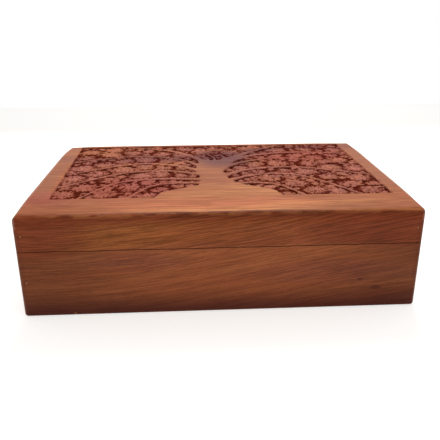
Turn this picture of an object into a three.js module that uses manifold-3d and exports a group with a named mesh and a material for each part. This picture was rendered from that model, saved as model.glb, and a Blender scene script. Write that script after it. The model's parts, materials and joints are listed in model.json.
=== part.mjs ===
// A hinged rosewood keepsake box with a tree carved in relief on its lid.
// Millimetres, +Z up, front towards -Y. The origin is the middle of the underside.
import * as THREE from "three";
import { mergeVertices } from "three/addons/utils/BufferGeometryUtils.js";
import Module from "manifold-3d";

const wasm = await Module();
wasm.setup();

// Overall sizes of the box
const BOX_WIDTH = 250;
const BOX_DEPTH = 175;
const BASE_HEIGHT = 44;
const RAIL_HEIGHT = 14.7;
const TOP_THICKNESS = 8;

// Boards and the gaps between them
const WALL_THICKNESS = 10;
const BOTTOM_THICKNESS = 4;
const REBATE_WIDTH = 5;
const PANEL_CLEARANCE = 0.2;
const SEAM_GAP = 0.3;

// Rounding of the outside edges
const CORNER_ROUNDING = 3;
const TOP_ROUNDING = 2;
const BOTTOM_ROUNDING = 1.4;
const SHARPEST_ROUNDING = 0.2;
const ROUNDING_STEPS = 4;

// The bevels along the back that let the lid swing and then stop it
const PIN_INSET = 3.5;
const OPENING_ANGLE = 100;
const BEVEL_SPARE_ANGLE = 0.6;

// Butt hinges
const HINGE_END_DISTANCE = 50;
const HINGE_LENGTH = 25;
const LEAF_THICKNESS = 0.9;
const LEAF_EDGE_MARGIN = 0.3;
const BARREL_RADIUS = 1.8;
const BARREL_CLEARANCE = 0.35;
const HINGE_PIN_RADIUS = 0.8;
const HINGE_PIN_CLEARANCE = 0.1;
const HINGE_PIN_HEAD_RADIUS = 1.2;
const HINGE_PIN_HEAD_THICKNESS = 0.5;
const HINGE_PIN_HEAD_CROWN = 0.2;
const HINGE_PIN_PLAY = 0.05;
const KNUCKLES = 5;
const KNUCKLE_GAP = 0.25;
const HINGE_POCKET_CLEARANCE = 0.15;
const BARREL_SIDES = 16;

// Countersunk slotted hinge screws
const SCREW_SPACING = 15;
const SCREW_LENGTH = 7;
const SCREW_SHANK_RADIUS = 0.65;
const SCREW_HEAD_RADIUS = 1.3;
const SCREW_HEAD_HEIGHT = 0.65;
const SCREW_TIP_LENGTH = 1.5;
const SCREW_SLOT_WIDTH = 0.4;
const SCREW_SLOT_DEPTH = 0.3;
const SCREW_CLEARANCE = 0.1;
const SCREW_SLOT_ANGLES = [20, -35, 70, 10];
const SCREW_SIDES = 10;

// Brads through the long boards into the ends of the short ones
const BRAD_LENGTH = 22;
const BRAD_RADIUS = 0.6;
const BRAD_HEAD_RADIUS = 0.95;
const BRAD_HEAD_THICKNESS = 0.7;
const BRAD_SINK = 0.1;
const BRAD_END_DISTANCE = 4.2;
const BASE_BRAD_RISE = 1.4;
const LID_BRAD_RISE = 2.6;

// Pins that hold the bottom panel in its rebate
const PANEL_PIN_LENGTH = 12;
const PANEL_PIN_RADIUS = 0.5;
const PANEL_PIN_HEAD_RADIUS = 0.9;
const PANEL_PIN_HEAD_THICKNESS = 0.5;
const PANEL_PIN_SINK = 0.3;
const PANEL_PIN_END_DISTANCE = 40;
const NAIL_CLEARANCE = 0.1;
const NAIL_SIDES = 8;

// The carved field
const LEFT_MARGIN = 13.5;
const RIGHT_MARGIN = 10.2;
const FRONT_MARGIN = 31;
const REAR_MARGIN = 4.5;
const CARVING_DEPTH = 2;
const BORDER_GROOVE_WIDTH = 0.9;

// Branches: their thickness and how finely they are drawn
const BRANCH_ROOT_HALF_WIDTH = 2.8;
const BRANCH_TIP_HALF_WIDTH = 1;
const BRANCH_STEPS = 12;
const BRANCH_PACKING_STEPS = 60;

// Leaves: their sizes, their shape and the room between them
const LEAF_LARGEST_RADIUS = 8.5;
const LEAF_SMALLEST_RADIUS = 3.8;
const LEAF_ROOM = 0.7;
const LEAF_DROP = 0.35;
const LEAF_LOBES = 6;
const LEAF_POINTS_A_LOBE = 2;
const LEAF_NOTCH = 0.3;
const LEAF_TURN = 2.4;
const PACKING_STEP = 1.5;

// The ground and trunk: share of the field's depth, then left and right edge from the field's middle
const TRUNK_EDGES = [
  [0, -44, 39], [0.08, -39, 36.5], [0.125, -30, 28.5], [0.185, -17, 18.5], [0.235, -13, 7.5],
  [0.4, -14, 5], [0.53, -15.5, 6.5], [0.6, -14, 10], [0.66, -7, 9.5],
];

// Branches as points: share of half the field's width from its middle, share of the field's depth
const BRANCHES = [
  [[-0.06, 0.22], [-0.25, 0.235], [-0.42, 0.185], [-0.54, 0]],
  [[-0.06, 0.28], [-0.34, 0.312], [-0.62, 0.255], [-0.83, 0]],
  [[-0.08, 0.36], [-0.32, 0.455], [-0.62, 0.42], [-1, 0.17]],
  [[-0.08, 0.4], [-0.27, 0.56], [-0.58, 0.6], [-1, 0.4]],
  [[-0.08, 0.5], [-0.25, 0.69], [-0.58, 0.775], [-1, 0.65]],
  [[-0.08, 0.56], [-0.14, 0.76], [-0.33, 0.91], [-0.66, 1]],
  [[-0.05, 0.6], [-0.06, 0.78], [-0.12, 1]],
  [[0, 0.6], [0.03, 0.8], [0.1, 1]],
  [[0.02, 0.58], [0.13, 0.73], [0.3, 0.88], [0.5, 1]],
  [[0.02, 0.56], [0.25, 0.765], [0.6, 0.83], [1, 0.765]],
  [[0, 0.43], [0.19, 0.61], [0.52, 0.685], [1, 0.48]],
  [[0, 0.3], [0.2, 0.455], [0.55, 0.49], [1, 0.32]],
  [[0, 0.2], [0.22, 0.35], [0.53, 0.335], [0.83, 0]],
  [[0.03, 0.19], [0.22, 0.22], [0.38, 0.165], [0.49, 0]],
];

// Places worked out from the sizes
const HALF_WIDTH = BOX_WIDTH / 2;
const HALF_DEPTH = BOX_DEPTH / 2;
const INNER_HALF_WIDTH = HALF_WIDTH - WALL_THICKNESS;
const INNER_HALF_DEPTH = HALF_DEPTH - WALL_THICKNESS;
const LID_RIM = BASE_HEIGHT + SEAM_GAP;
const RAIL_TOP = LID_RIM + RAIL_HEIGHT;
const BOX_HEIGHT = RAIL_TOP + TOP_THICKNESS;
const PIN_Y = HALF_DEPTH - PIN_INSET;
const PIN_Z = BASE_HEIGHT + SEAM_GAP / 2;
const HINGE_X = HALF_WIDTH - HINGE_END_DISTANCE;
const LEAF_NEAR = -(BARREL_RADIUS + BARREL_CLEARANCE);
const LEAF_FAR = LEAF_EDGE_MARGIN - (WALL_THICKNESS - PIN_INSET);
const SCREW_Y = (LEAF_NEAR + LEAF_FAR) / 2;
const BRAD_X = HALF_WIDTH - BRAD_END_DISTANCE;
const BASE_BRAD_Z = BASE_HEIGHT / 2 + BASE_BRAD_RISE;
const LID_BRAD_Z = LID_RIM + RAIL_HEIGHT / 2 + LID_BRAD_RISE;
const FIELD = {
  left: LEFT_MARGIN - HALF_WIDTH,
  right: HALF_WIDTH - RIGHT_MARGIN,
  front: FRONT_MARGIN - HALF_DEPTH,
  rear: HALF_DEPTH - REAR_MARGIN,
};
const FIELD_MIDDLE = (FIELD.left + FIELD.right) / 2;
const OVERCUT = 1;
const WELD_DISTANCE = 1e-4;

// Materials
const wood = (colour) => new THREE.MeshStandardMaterial({ color: colour, roughness: 0.5 });
const metal = (colour) =>
  new THREE.MeshStandardMaterial({ color: colour, roughness: 0.35, metalness: 1 });
const TOP_WOOD = wood(0xb57452);
const LID_WOOD = wood(0x7e4629);
const BASE_WOOD = wood(0x744029);
const PANEL_WOOD = wood(0xa97b52);
const BRASS = metal(0xc9a254);
const NAIL_STEEL = metal(0xb9a592);

// A closed geometry as a solid that can be cut and joined
function solidOf(geometry) {
  geometry.deleteAttribute("normal");
  geometry.deleteAttribute("uv");
  const merged = mergeVertices(geometry, WELD_DISTANCE);
  const corners = merged.index.array;
  const kept = [];
  for (let i = 0; i < corners.length; i += 3) {
    const [a, b, c] = corners.slice(i, i + 3);
    if (a !== b && b !== c && c !== a) kept.push(a, b, c);
  }
  const vertProperties = merged.attributes.position.array;
  const triVerts = new Uint32Array(kept);
  return new wasm.Manifold(new wasm.Mesh({ numProp: 3, vertProperties, triVerts }));
}

// A solid as a named mesh in a group
function addPiece(group, name, solid, material) {
  const { vertProperties, triVerts } = solid.getMesh();
  const geometry = new THREE.BufferGeometry();
  geometry.setAttribute("position", new THREE.BufferAttribute(vertProperties, 3));
  geometry.setIndex(new THREE.BufferAttribute(triVerts, 1));
  geometry.computeVertexNormals();
  const mesh = new THREE.Mesh(geometry, material);
  mesh.name = name;
  group.add(mesh);
}

function block(x0, x1, y0, y1, z0, z1) {
  const geometry = new THREE.BoxGeometry(x1 - x0, y1 - y0, z1 - z0);
  return solidOf(geometry.translate((x0 + x1) / 2, (y0 + y1) / 2, (z0 + z1) / 2));
}

// A flat outline of [x, y] points, raised from z0 to z1
function raised(outline, z0, z1) {
  const shape = new THREE.Shape(outline.map(([x, y]) => new THREE.Vector2(x, y)));
  const geometry = new THREE.ExtrudeGeometry(shape, { depth: z1 - z0, bevelEnabled: false });
  return solidOf(geometry.translate(0, 0, z0));
}

function rodAlongX(radius, x0, x1, y, z) {
  const geometry = new THREE.CylinderGeometry(radius, radius, x1 - x0, BARREL_SIDES);
  return solidOf(geometry.rotateZ(Math.PI / 2).translate((x0 + x1) / 2, y, z));
}

// A turned shape from a profile of [radius, height] pairs, its height along +Z
function turned(profile, sides) {
  const points = profile.map(([radius, height]) => new THREE.Vector2(radius, height));
  return new THREE.LatheGeometry(points, sides).rotateX(Math.PI / 2);
}

const unionOf = (solids) => solids.reduce((joined, next) => joined.add(next));
const without = (solid, cutters) => cutters.reduce((left, cutter) => left.subtract(cutter), solid);

// One level ring of the box with its rounded upright edges, drawn in by an inset
function ringOfBox(inset, z) {
  const radius = Math.max(CORNER_ROUNDING - inset, SHARPEST_ROUNDING);
  const x = HALF_WIDTH - inset - radius;
  const y = HALF_DEPTH - inset - radius;
  return [[x, y], [-x, y], [-x, -y], [x, -y]].flatMap(([middleX, middleY], quarter) =>
    Array.from({ length: ROUNDING_STEPS + 1 }, (_, step) => {
      const angle = ((quarter + step / ROUNDING_STEPS) * Math.PI) / 2;
      return [middleX + radius * Math.cos(angle), middleY + radius * Math.sin(angle), z];
    }),
  );
}

// The outside of the whole closed box, with its eased edges
function outsideForm() {
  const rings = [];
  for (let step = 0; step <= ROUNDING_STEPS; step++) {
    const angle = ((step / ROUNDING_STEPS) * Math.PI) / 2;
    const inset = BOTTOM_ROUNDING * (1 - Math.sin(angle));
    rings.push(ringOfBox(inset, BOTTOM_ROUNDING * (1 - Math.cos(angle))));
  }
  for (let step = 0; step <= ROUNDING_STEPS; step++) {
    const angle = ((step / ROUNDING_STEPS) * Math.PI) / 2;
    const z = BOX_HEIGHT - TOP_ROUNDING * (1 - Math.sin(angle));
    rings.push(ringOfBox(TOP_ROUNDING * (1 - Math.cos(angle)), z));
  }
  const count = rings[0].length;
  const faces = [];
  for (let level = 0; level + 1 < rings.length; level++) {
    for (let i = 0; i < count; i++) {
      const here = level * count + i;
      const beside = level * count + ((i + 1) % count);
      faces.push(here, beside, beside + count, here, beside + count, here + count);
    }
  }
  const last = (rings.length - 1) * count;
  for (let i = 1; i + 1 < count; i++) {
    faces.push(0, i + 1, i, last, last + i, last + i + 1);
  }
  const geometry = new THREE.BufferGeometry();
  geometry.setAttribute("position", new THREE.Float32BufferAttribute(rings.flat(2), 3));
  geometry.setIndex(faces);
  return solidOf(geometry);
}

// The wedge that is planed off along a back edge; side is 1 above the seam and -1 below it
function backBevel(side) {
  const slope = Math.tan(THREE.MathUtils.degToRad(OPENING_ANGLE / 2 + BEVEL_SPARE_ANGLE));
  const reach = PIN_INSET + OVERCUT;
  const rim = (side * SEAM_GAP) / 2;
  const outline = [[0, rim], [reach, rim + side * reach * slope], [reach, 0], [0, 0]];
  const geometry = new THREE.ExtrudeGeometry(
    new THREE.Shape(outline.map(([y, z]) => new THREE.Vector2(y, z))),
    { depth: BOX_WIDTH + 2 * OVERCUT, bevelEnabled: false },
  );
  const alongX = new THREE.Matrix4().makeBasis(
    new THREE.Vector3(0, 1, 0),
    new THREE.Vector3(0, 0, 1),
    new THREE.Vector3(1, 0, 0),
  );
  geometry.applyMatrix4(alongX).translate(-HALF_WIDTH - OVERCUT, PIN_Y, PIN_Z);
  return solidOf(geometry);
}

// A nail's profile with its head's top at height 0; a hole has a clearance and runs on to `top`
function nailProfile(nail, clearance, top) {
  const shank = nail.radius + clearance;
  const head = nail.headRadius + clearance;
  const underHead = -nail.headThickness - clearance;
  return [
    [0, -nail.length - clearance], [shank, nail.radius - nail.length],
    [shank, underHead], [head, underHead], [head, top], [0, top],
  ];
}

const BRAD = {
  length: BRAD_LENGTH,
  radius: BRAD_RADIUS,
  headRadius: BRAD_HEAD_RADIUS,
  headThickness: BRAD_HEAD_THICKNESS,
};
const PANEL_PIN = {
  length: PANEL_PIN_LENGTH,
  radius: PANEL_PIN_RADIUS,
  headRadius: PANEL_PIN_HEAD_RADIUS,
  headThickness: PANEL_PIN_HEAD_THICKNESS,
};

// One brad at each corner, through the front or back board; z is its height
function bradPlaces(z) {
  return [
    { name: "front_left", x: -BRAD_X, side: -1, z },
    { name: "front_right", x: BRAD_X, side: -1, z },
    { name: "back_left", x: -BRAD_X, side: 1, z },
    { name: "back_right", x: BRAD_X, side: 1, z },
  ];
}

function bradSolid({ x, side, z }, clearance, top) {
  const geometry = turned(nailProfile(BRAD, clearance, top), NAIL_SIDES);
  geometry.rotateX((-side * Math.PI) / 2);
  return solidOf(geometry.translate(x, side * (HALF_DEPTH - BRAD_SINK), z));
}

const bradAt = (place) => bradSolid(place, 0, 0);
const bradHole = (place) => bradSolid(place, NAIL_CLEARANCE, OVERCUT);

// The pins lie halfway across the rebate's shoulder, all round the bottom panel
function panelPinPlaces() {
  const x = INNER_HALF_WIDTH + REBATE_WIDTH / 2;
  const y = INNER_HALF_DEPTH + REBATE_WIDTH / 2;
  const outerX = HALF_WIDTH - PANEL_PIN_END_DISTANCE;
  const longEdges = [-outerX, 0, outerX].flatMap((alongX) => [[alongX, -y], [alongX, y]]);
  return [...longEdges, [-x, 0], [x, 0]];
}

function panelPinSolid([x, y], clearance, top) {
  const geometry = turned(nailProfile(PANEL_PIN, clearance, top), NAIL_SIDES).rotateX(Math.PI);
  return solidOf(geometry.translate(x, y, PANEL_PIN_SINK));
}

const panelPinAt = (place) => panelPinSolid(place, 0, 0);
const panelPinHole = (place) => panelPinSolid(place, NAIL_CLEARANCE, OVERCUT);

// A countersunk screw's profile, its head's top at height 0, or with a clearance its hole
function screwProfile(clearance, top) {
  const shank = SCREW_SHANK_RADIUS + clearance;
  const head = SCREW_HEAD_RADIUS + clearance;
  return [
    [0, -SCREW_LENGTH - clearance], [shank, SCREW_TIP_LENGTH - SCREW_LENGTH],
    [shank, -SCREW_HEAD_HEIGHT - clearance], [head, -clearance], [head, top], [0, top],
  ];
}

// Screws go down into the base, side -1, and up into the lid, side 1, from the leaf's open face
function placedScrew(geometry, x, side) {
  if (side > 0) geometry.rotateX(Math.PI);
  return solidOf(geometry.translate(x, PIN_Y + SCREW_Y, PIN_Z + (side * SEAM_GAP) / 2));
}

function screwAt(x, side, slotAngle) {
  const reach = SCREW_HEAD_RADIUS + OVERCUT;
  const slot = new THREE.BoxGeometry(2 * reach, SCREW_SLOT_WIDTH, SCREW_SLOT_DEPTH + OVERCUT);
  slot.translate(0, 0, (OVERCUT - SCREW_SLOT_DEPTH) / 2);
  slot.rotateZ(THREE.MathUtils.degToRad(slotAngle));
  const body = placedScrew(turned(screwProfile(0, 0), SCREW_SIDES), x, side);
  return body.subtract(placedScrew(slot, x, side));
}

function screwHole(x, side) {
  const profile = screwProfile(SCREW_CLEARANCE, OVERCUT);
  return placedScrew(turned(profile, SCREW_SIDES), x, side);
}

function screwPlaces() {
  return [-HINGE_X, HINGE_X].flatMap((x) => [x - SCREW_SPACING / 2, x + SCREW_SPACING / 2]);
}

// What is cut from the wood for one hinge, above the seam, side 1, or below it, side -1
function hingePocket(x, side) {
  const plateHalf = HINGE_LENGTH / 2 + HINGE_POCKET_CLEARANCE;
  const pinHalf = plateHalf + HINGE_PIN_PLAY + HINGE_PIN_HEAD_THICKNESS;
  const floor = PIN_Z + side * (SEAM_GAP / 2 + LEAF_THICKNESS);
  const barrel = rodAlongX(BARREL_RADIUS + BARREL_CLEARANCE, x - pinHalf, x + pinHalf, PIN_Y, PIN_Z);
  const insideFace = INNER_HALF_DEPTH - OVERCUT;
  const low = Math.min(floor, PIN_Z);
  const high = Math.max(floor, PIN_Z);
  return barrel.add(block(x - plateHalf, x + plateHalf, insideFace, PIN_Y, low, high));
}

// One leaf with its knuckles; the base leaf takes the outer ones and the lid leaf those between
function hingeLeaf(x, side) {
  const half = HINGE_LENGTH / 2;
  const openFace = PIN_Z + (side * SEAM_GAP) / 2;
  const seatedFace = openFace + side * LEAF_THICKNESS;
  const low = Math.min(openFace, seatedFace);
  const high = Math.max(openFace, seatedFace);
  const parts = [block(x - half, x + half, PIN_Y + LEAF_FAR, PIN_Y + LEAF_NEAR, low, high)];
  const knuckle = (HINGE_LENGTH - (KNUCKLES - 1) * KNUCKLE_GAP) / KNUCKLES;
  for (let i = side > 0 ? 1 : 0; i < KNUCKLES; i += 2) {
    const start = x - half + i * (knuckle + KNUCKLE_GAP);
    const end = start + knuckle;
    parts.push(rodAlongX(BARREL_RADIUS, start, end, PIN_Y, PIN_Z));
    const bendStart = PIN_Y + LEAF_NEAR - LEAF_THICKNESS;
    parts.push(block(start, end, bendStart, PIN_Y - HINGE_PIN_RADIUS, low, high));
  }
  const boreRadius = HINGE_PIN_RADIUS + HINGE_PIN_CLEARANCE;
  const bore = rodAlongX(boreRadius, x - half - OVERCUT, x + half + OVERCUT, PIN_Y, PIN_Z);
  return without(unionOf(parts), [bore, ...screwPlaces().map((place) => screwHole(place, side))]);
}

function hingePin(x) {
  const neck = HINGE_LENGTH / 2 + HINGE_PIN_PLAY;
  const end = neck + HINGE_PIN_HEAD_THICKNESS;
  const crownEdge = end - HINGE_PIN_HEAD_CROWN;
  const half = [
    [HINGE_PIN_RADIUS, neck], [HINGE_PIN_HEAD_RADIUS, neck],
    [HINGE_PIN_HEAD_RADIUS, crownEdge], [HINGE_PIN_RADIUS, end], [0, end],
  ];
  const otherHalf = half.map(([radius, height]) => [radius, -height]).reverse();
  const geometry = turned([...otherHalf, ...half], BARREL_SIDES).rotateY(Math.PI / 2);
  return solidOf(geometry.translate(x, PIN_Y, PIN_Z));
}

// A place on the lid from shares of the carved field
const fieldPoint = ([across, along]) =>
  new THREE.Vector2(
    FIELD_MIDDLE + (across * (FIELD.right - FIELD.left)) / 2,
    FIELD.front + along * (FIELD.rear - FIELD.front),
  );

// The middle line of a branch, which thins towards its tip
function branchLine(points, steps) {
  const curve = new THREE.SplineCurve(points.map(fieldPoint));
  return Array.from({ length: steps + 1 }, (_, step) => {
    const share = step / steps;
    const { x, y } = curve.getPoint(share);
    const thinning = Math.sqrt(share);
    const halfWidth = THREE.MathUtils.lerp(BRANCH_ROOT_HALF_WIDTH, BRANCH_TIP_HALF_WIDTH, thinning);
    return { x, y, halfWidth, tangent: curve.getTangent(share) };
  });
}

function branchOutline(points) {
  const line = branchLine(points, BRANCH_STEPS);
  const edge = (side) =>
    line.map(({ x, y, halfWidth, tangent }) => [
      x - side * tangent.y * halfWidth,
      y + side * tangent.x * halfWidth,
    ]);
  return [...edge(1), ...edge(-1).reverse()];
}

// The ground, which runs on into the plain band at the front, and the trunk that grows out of it
function trunkOutline() {
  const depth = FIELD.rear - FIELD.front;
  const left = TRUNK_EDGES.map(([along, x]) => [FIELD_MIDDLE + x, FIELD.front + along * depth]);
  const right = TRUNK_EDGES.map(([along, , x]) => [FIELD_MIDDLE + x, FIELD.front + along * depth]);
  const ends = [left[0], right[0]].map(([x, y]) => [x, y - OVERCUT]);
  return [ends[0], ...left, ...right.reverse(), ends[1]];
}

// How far a point lies from a closed outline, or a negative number inside it
function distanceFrom(outline, x, y) {
  const point = new THREE.Vector3(x, y, 0);
  const closest = new THREE.Vector3();
  let nearest = Infinity;
  let inside = false;
  outline.forEach(([x0, y0], i) => {
    const [x1, y1] = outline[(i + 1) % outline.length];
    const line = new THREE.Line3(new THREE.Vector3(x0, y0, 0), new THREE.Vector3(x1, y1, 0));
    line.closestPointToPoint(point, true, closest);
    nearest = Math.min(nearest, closest.distanceTo(point));
    if (y0 > y !== y1 > y && x < x0 + ((y - y0) / (y1 - y0)) * (x1 - x0)) inside = !inside;
  });
  return inside ? -nearest : nearest;
}

// Leaves fill what the branches leave free, the largest first
function leafPlaces() {
  const trunk = trunkOutline();
  const branchPoints = BRANCHES.flatMap((points) => branchLine(points, BRANCH_PACKING_STEPS));
  const spots = [];
  for (let y = FIELD.front; y < FIELD.rear; y += PACKING_STEP) {
    for (let x = FIELD.left; x < FIELD.right; x += PACKING_STEP) {
      const toBorder = Math.min(x - FIELD.left, FIELD.right - x, FIELD.rear - y);
      let room = Math.min(toBorder - BORDER_GROOVE_WIDTH, y - FIELD.front);
      room = Math.min(room, distanceFrom(trunk, x, y));
      for (const branch of branchPoints) {
        room = Math.min(room, Math.hypot(x - branch.x, y - branch.y) - branch.halfWidth);
      }
      spots.push({ x, y, room });
    }
  }
  const leaves = [];
  const sizeAt = ({ room }) => Math.min(room - LEAF_ROOM, LEAF_LARGEST_RADIUS);
  for (;;) {
    const best = spots.reduce((found, spot) => (sizeAt(spot) > sizeAt(found) ? spot : found));
    const radius = sizeAt(best);
    if (radius < LEAF_SMALLEST_RADIUS) return leaves;
    leaves.push({ x: best.x, y: best.y, radius });
    for (const spot of spots) {
      spot.room = Math.min(spot.room, Math.hypot(spot.x - best.x, spot.y - best.y) - radius);
    }
  }
}

function leafOutline({ x, y, radius }, index) {
  const count = LEAF_LOBES * LEAF_POINTS_A_LOBE;
  return Array.from({ length: count }, (_, i) => {
    const share = i / count;
    const lobe = Math.abs(Math.sin(share * LEAF_LOBES * Math.PI));
    const reach = radius * (1 - LEAF_NOTCH * (1 - lobe));
    const angle = share * 2 * Math.PI + index * LEAF_TURN;
    return [x + reach * Math.cos(angle), y + reach * Math.sin(angle)];
  });
}

// What is carved away: the sunk field around the trunk, its branches and the lower leaves
function carvedAway() {
  const floor = BOX_HEIGHT - CARVING_DEPTH;
  const above = BOX_HEIGHT + OVERCUT;
  const { left, right, front, rear } = FIELD;
  const insideGroove = block(
    left + BORDER_GROOVE_WIDTH, right - BORDER_GROOVE_WIDTH,
    front - OVERCUT, rear - BORDER_GROOVE_WIDTH, floor - OVERCUT, above + OVERCUT,
  );
  const standing = BRANCHES.map((points) => raised(branchOutline(points), floor - OVERCUT, above));
  standing.push(raised(trunkOutline(), floor - OVERCUT, above));
  const tree = unionOf(standing).intersect(insideGroove);
  const leaves = leafPlaces().map((leaf, index) =>
    raised(leafOutline(leaf, index), floor - OVERCUT, BOX_HEIGHT - LEAF_DROP),
  );
  return block(left, right, front, rear, floor, above).subtract(tree).subtract(unionOf(leaves));
}

// The boards of a frame between two heights: long ones at front and back, short ones between them
function frameBoards(form, z0, z1) {
  const outX = HALF_WIDTH + OVERCUT;
  const outY = HALF_DEPTH + OVERCUT;
  const cut = (x0, x1, y0, y1) => form.intersect(block(x0, x1, y0, y1, z0, z1));
  return {
    front: cut(-outX, outX, -outY, -INNER_HALF_DEPTH),
    back: cut(-outX, outX, INNER_HALF_DEPTH, outY),
    left: cut(-outX, -INNER_HALF_WIDTH, -INNER_HALF_DEPTH, INNER_HALF_DEPTH),
    right: cut(INNER_HALF_WIDTH, outX, -INNER_HALF_DEPTH, INNER_HALF_DEPTH),
  };
}

// The back board of the lid or base, bevelled and let in for both hinges
function backWithHingePockets(board, side) {
  const pockets = [-HINGE_X, HINGE_X].map((x) => hingePocket(x, side));
  const holes = screwPlaces().map((x) => screwHole(x, side));
  return without(board, [backBevel(side), ...pockets, ...holes]);
}

function makeBase(form) {
  const base = new THREE.Group();
  const boards = frameBoards(form, 0, BASE_HEIGHT);
  boards.back = backWithHingePockets(boards.back, -1);
  const rebateX = INNER_HALF_WIDTH + REBATE_WIDTH;
  const rebateY = INNER_HALF_DEPTH + REBATE_WIDTH;
  const rebate = block(-rebateX, rebateX, -rebateY, rebateY, -OVERCUT, BOTTOM_THICKNESS);
  const pins = panelPinPlaces();
  const brads = bradPlaces(BASE_BRAD_Z);
  const holes = [rebate, ...pins.map(panelPinHole), ...brads.map(bradHole)];
  for (const [side, board] of Object.entries(boards)) {
    addPiece(base, `base_${side}_board`, without(board, holes), BASE_WOOD);
  }
  const panelX = rebateX - PANEL_CLEARANCE;
  const panelY = rebateY - PANEL_CLEARANCE;
  const panel = block(-panelX, panelX, -panelY, panelY, 0, BOTTOM_THICKNESS);
  addPiece(base, "base_bottom_panel", without(panel, pins.map(panelPinHole)), PANEL_WOOD);
  pins.forEach((place, i) => addPiece(base, `panel_pin_${i + 1}`, panelPinAt(place), NAIL_STEEL));
  for (const place of brads) addPiece(base, `base_brad_${place.name}`, bradAt(place), NAIL_STEEL);
  return base;
}

function makeLid(form) {
  const lid = new THREE.Group();
  const boards = frameBoards(form, LID_RIM, RAIL_TOP);
  boards.back = backWithHingePockets(boards.back, 1);
  const brads = bradPlaces(LID_BRAD_Z);
  for (const [side, board] of Object.entries(boards)) {
    addPiece(lid, `lid_${side}_rail`, without(board, brads.map(bradHole)), LID_WOOD);
  }
  const outX = HALF_WIDTH + OVERCUT;
  const outY = HALF_DEPTH + OVERCUT;
  const plain = form.intersect(block(-outX, outX, -outY, outY, RAIL_TOP, BOX_HEIGHT + OVERCUT));
  addPiece(lid, "lid_top_board", plain.subtract(carvedAway()), TOP_WOOD);
  for (const place of brads) addPiece(lid, `lid_brad_${place.name}`, bradAt(place), NAIL_STEEL);
  return lid;
}

function makeHinges() {
  const hinges = new THREE.Group();
  for (const [name, x] of [["left", -HINGE_X], ["right", HINGE_X]]) {
    addPiece(hinges, `${name}_hinge_base_leaf`, hingeLeaf(x, -1), BRASS);
    addPiece(hinges, `${name}_hinge_lid_leaf`, hingeLeaf(x, 1), BRASS);
    addPiece(hinges, `${name}_hinge_pin`, hingePin(x), BRASS);
  }
  screwPlaces().forEach((x, i) => {
    const angle = SCREW_SLOT_ANGLES[i];
    addPiece(hinges, `base_hinge_screw_${i + 1}`, screwAt(x, -1, angle), BRASS);
    addPiece(hinges, `lid_hinge_screw_${i + 1}`, screwAt(x, 1, -angle), BRASS);
  });
  return hinges;
}

const woodenBox = new THREE.Group();
const form = outsideForm();
woodenBox.add(makeBase(form), makeLid(form), makeHinges());

export default woodenBox;
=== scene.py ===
"""A hinged rosewood keepsake box with a tree carved on its lid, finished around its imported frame."""

import json
import math

import bmesh
import bpy
import numpy as np
from mathutils import Matrix, Vector


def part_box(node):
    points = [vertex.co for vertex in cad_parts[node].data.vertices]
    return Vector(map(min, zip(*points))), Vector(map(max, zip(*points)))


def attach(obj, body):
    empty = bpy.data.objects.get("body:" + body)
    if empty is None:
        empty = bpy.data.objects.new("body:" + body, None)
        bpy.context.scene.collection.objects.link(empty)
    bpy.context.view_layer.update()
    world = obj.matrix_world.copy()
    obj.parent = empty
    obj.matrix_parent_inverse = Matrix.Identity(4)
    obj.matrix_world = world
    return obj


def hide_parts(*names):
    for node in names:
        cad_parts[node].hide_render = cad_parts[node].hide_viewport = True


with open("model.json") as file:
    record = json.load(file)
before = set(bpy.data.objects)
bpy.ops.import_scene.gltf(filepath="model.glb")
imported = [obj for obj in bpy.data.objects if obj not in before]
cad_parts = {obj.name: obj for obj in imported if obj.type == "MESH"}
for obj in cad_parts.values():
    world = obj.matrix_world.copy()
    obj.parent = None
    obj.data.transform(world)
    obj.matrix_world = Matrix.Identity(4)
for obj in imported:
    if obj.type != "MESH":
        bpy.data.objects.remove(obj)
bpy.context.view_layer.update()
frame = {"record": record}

bl_info = {
    "name": "Carved Keepsake Box",
    "version": (1, 0, 0),
    "blender": (4, 5, 0),
    "location": "View3D > Sidebar > Keepsake Box",
    "description": "Models and finishes a hinged rosewood box with a tree carved on its lid",
    "category": "Object",
}

MM = 0.001

# The box's outside, from the frame
HALF_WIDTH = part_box("base_back_board")[1].x
HALF_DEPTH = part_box("base_back_board")[1].y
INNER_HALF_WIDTH = -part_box("base_left_board")[1].x
INNER_HALF_DEPTH = -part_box("base_front_board")[1].y
BASE_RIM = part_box("base_front_board")[1].z
LID_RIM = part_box("lid_front_rail")[0].z
RAIL_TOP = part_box("lid_top_board")[0].z
BOX_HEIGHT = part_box("lid_top_board")[1].z
SEAM = (BASE_RIM + LID_RIM) / 2

# The line that the lid turns on
HINGE_LINE = (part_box("right_hinge_pin")[0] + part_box("right_hinge_pin")[1]) / 2

# The nodes that ride on each body, from the frame
BODIES = frame["record"]["behaviour"]["bodies"]

# The nodes that repeat, by kind
SIDES = ("front", "back", "left", "right")
BASE_SCREWS = [f"base_hinge_screw_{number}" for number in range(1, 5)]
LID_SCREWS = [f"lid_hinge_screw_{number}" for number in range(1, 5)]
BRADS = [
    f"{part}_brad_{side}_{end}"
    for part in ("base", "lid") for side in ("front", "back") for end in ("left", "right")
]
PANEL_PINS = [f"panel_pin_{number}" for number in range(1, 9)]

# Nails and screws in millimetres: length, radius of the shank and thickness of the head
BRAD = {"length": 22, "radius": 0.6, "thickness": 0.7}
PANEL_PIN = {"length": 12, "radius": 0.5, "thickness": 0.5}
SCREW = {"length": 7, "radius": 0.65, "thickness": 0.65}

# How far each screw's slot is turned from the box's length, in degrees
SLOT_ANGLES = [20, -35, 70, 10, -20, 35, -70, -10]

# The knuckles of a hinge; the base's leaf has the first, the third and the fifth
KNUCKLES = 5

# Sides of what is turned, and the angles in degrees up to which edges are smoothed
NAIL_SIDES = 24
PIN_SIDES = 32
KNUCKLE_SIDES = 40
HOLLOW_SIDES = 48
SMOOTH_ANGLE = 35
TOP_SMOOTH_ANGLE = 40

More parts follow.
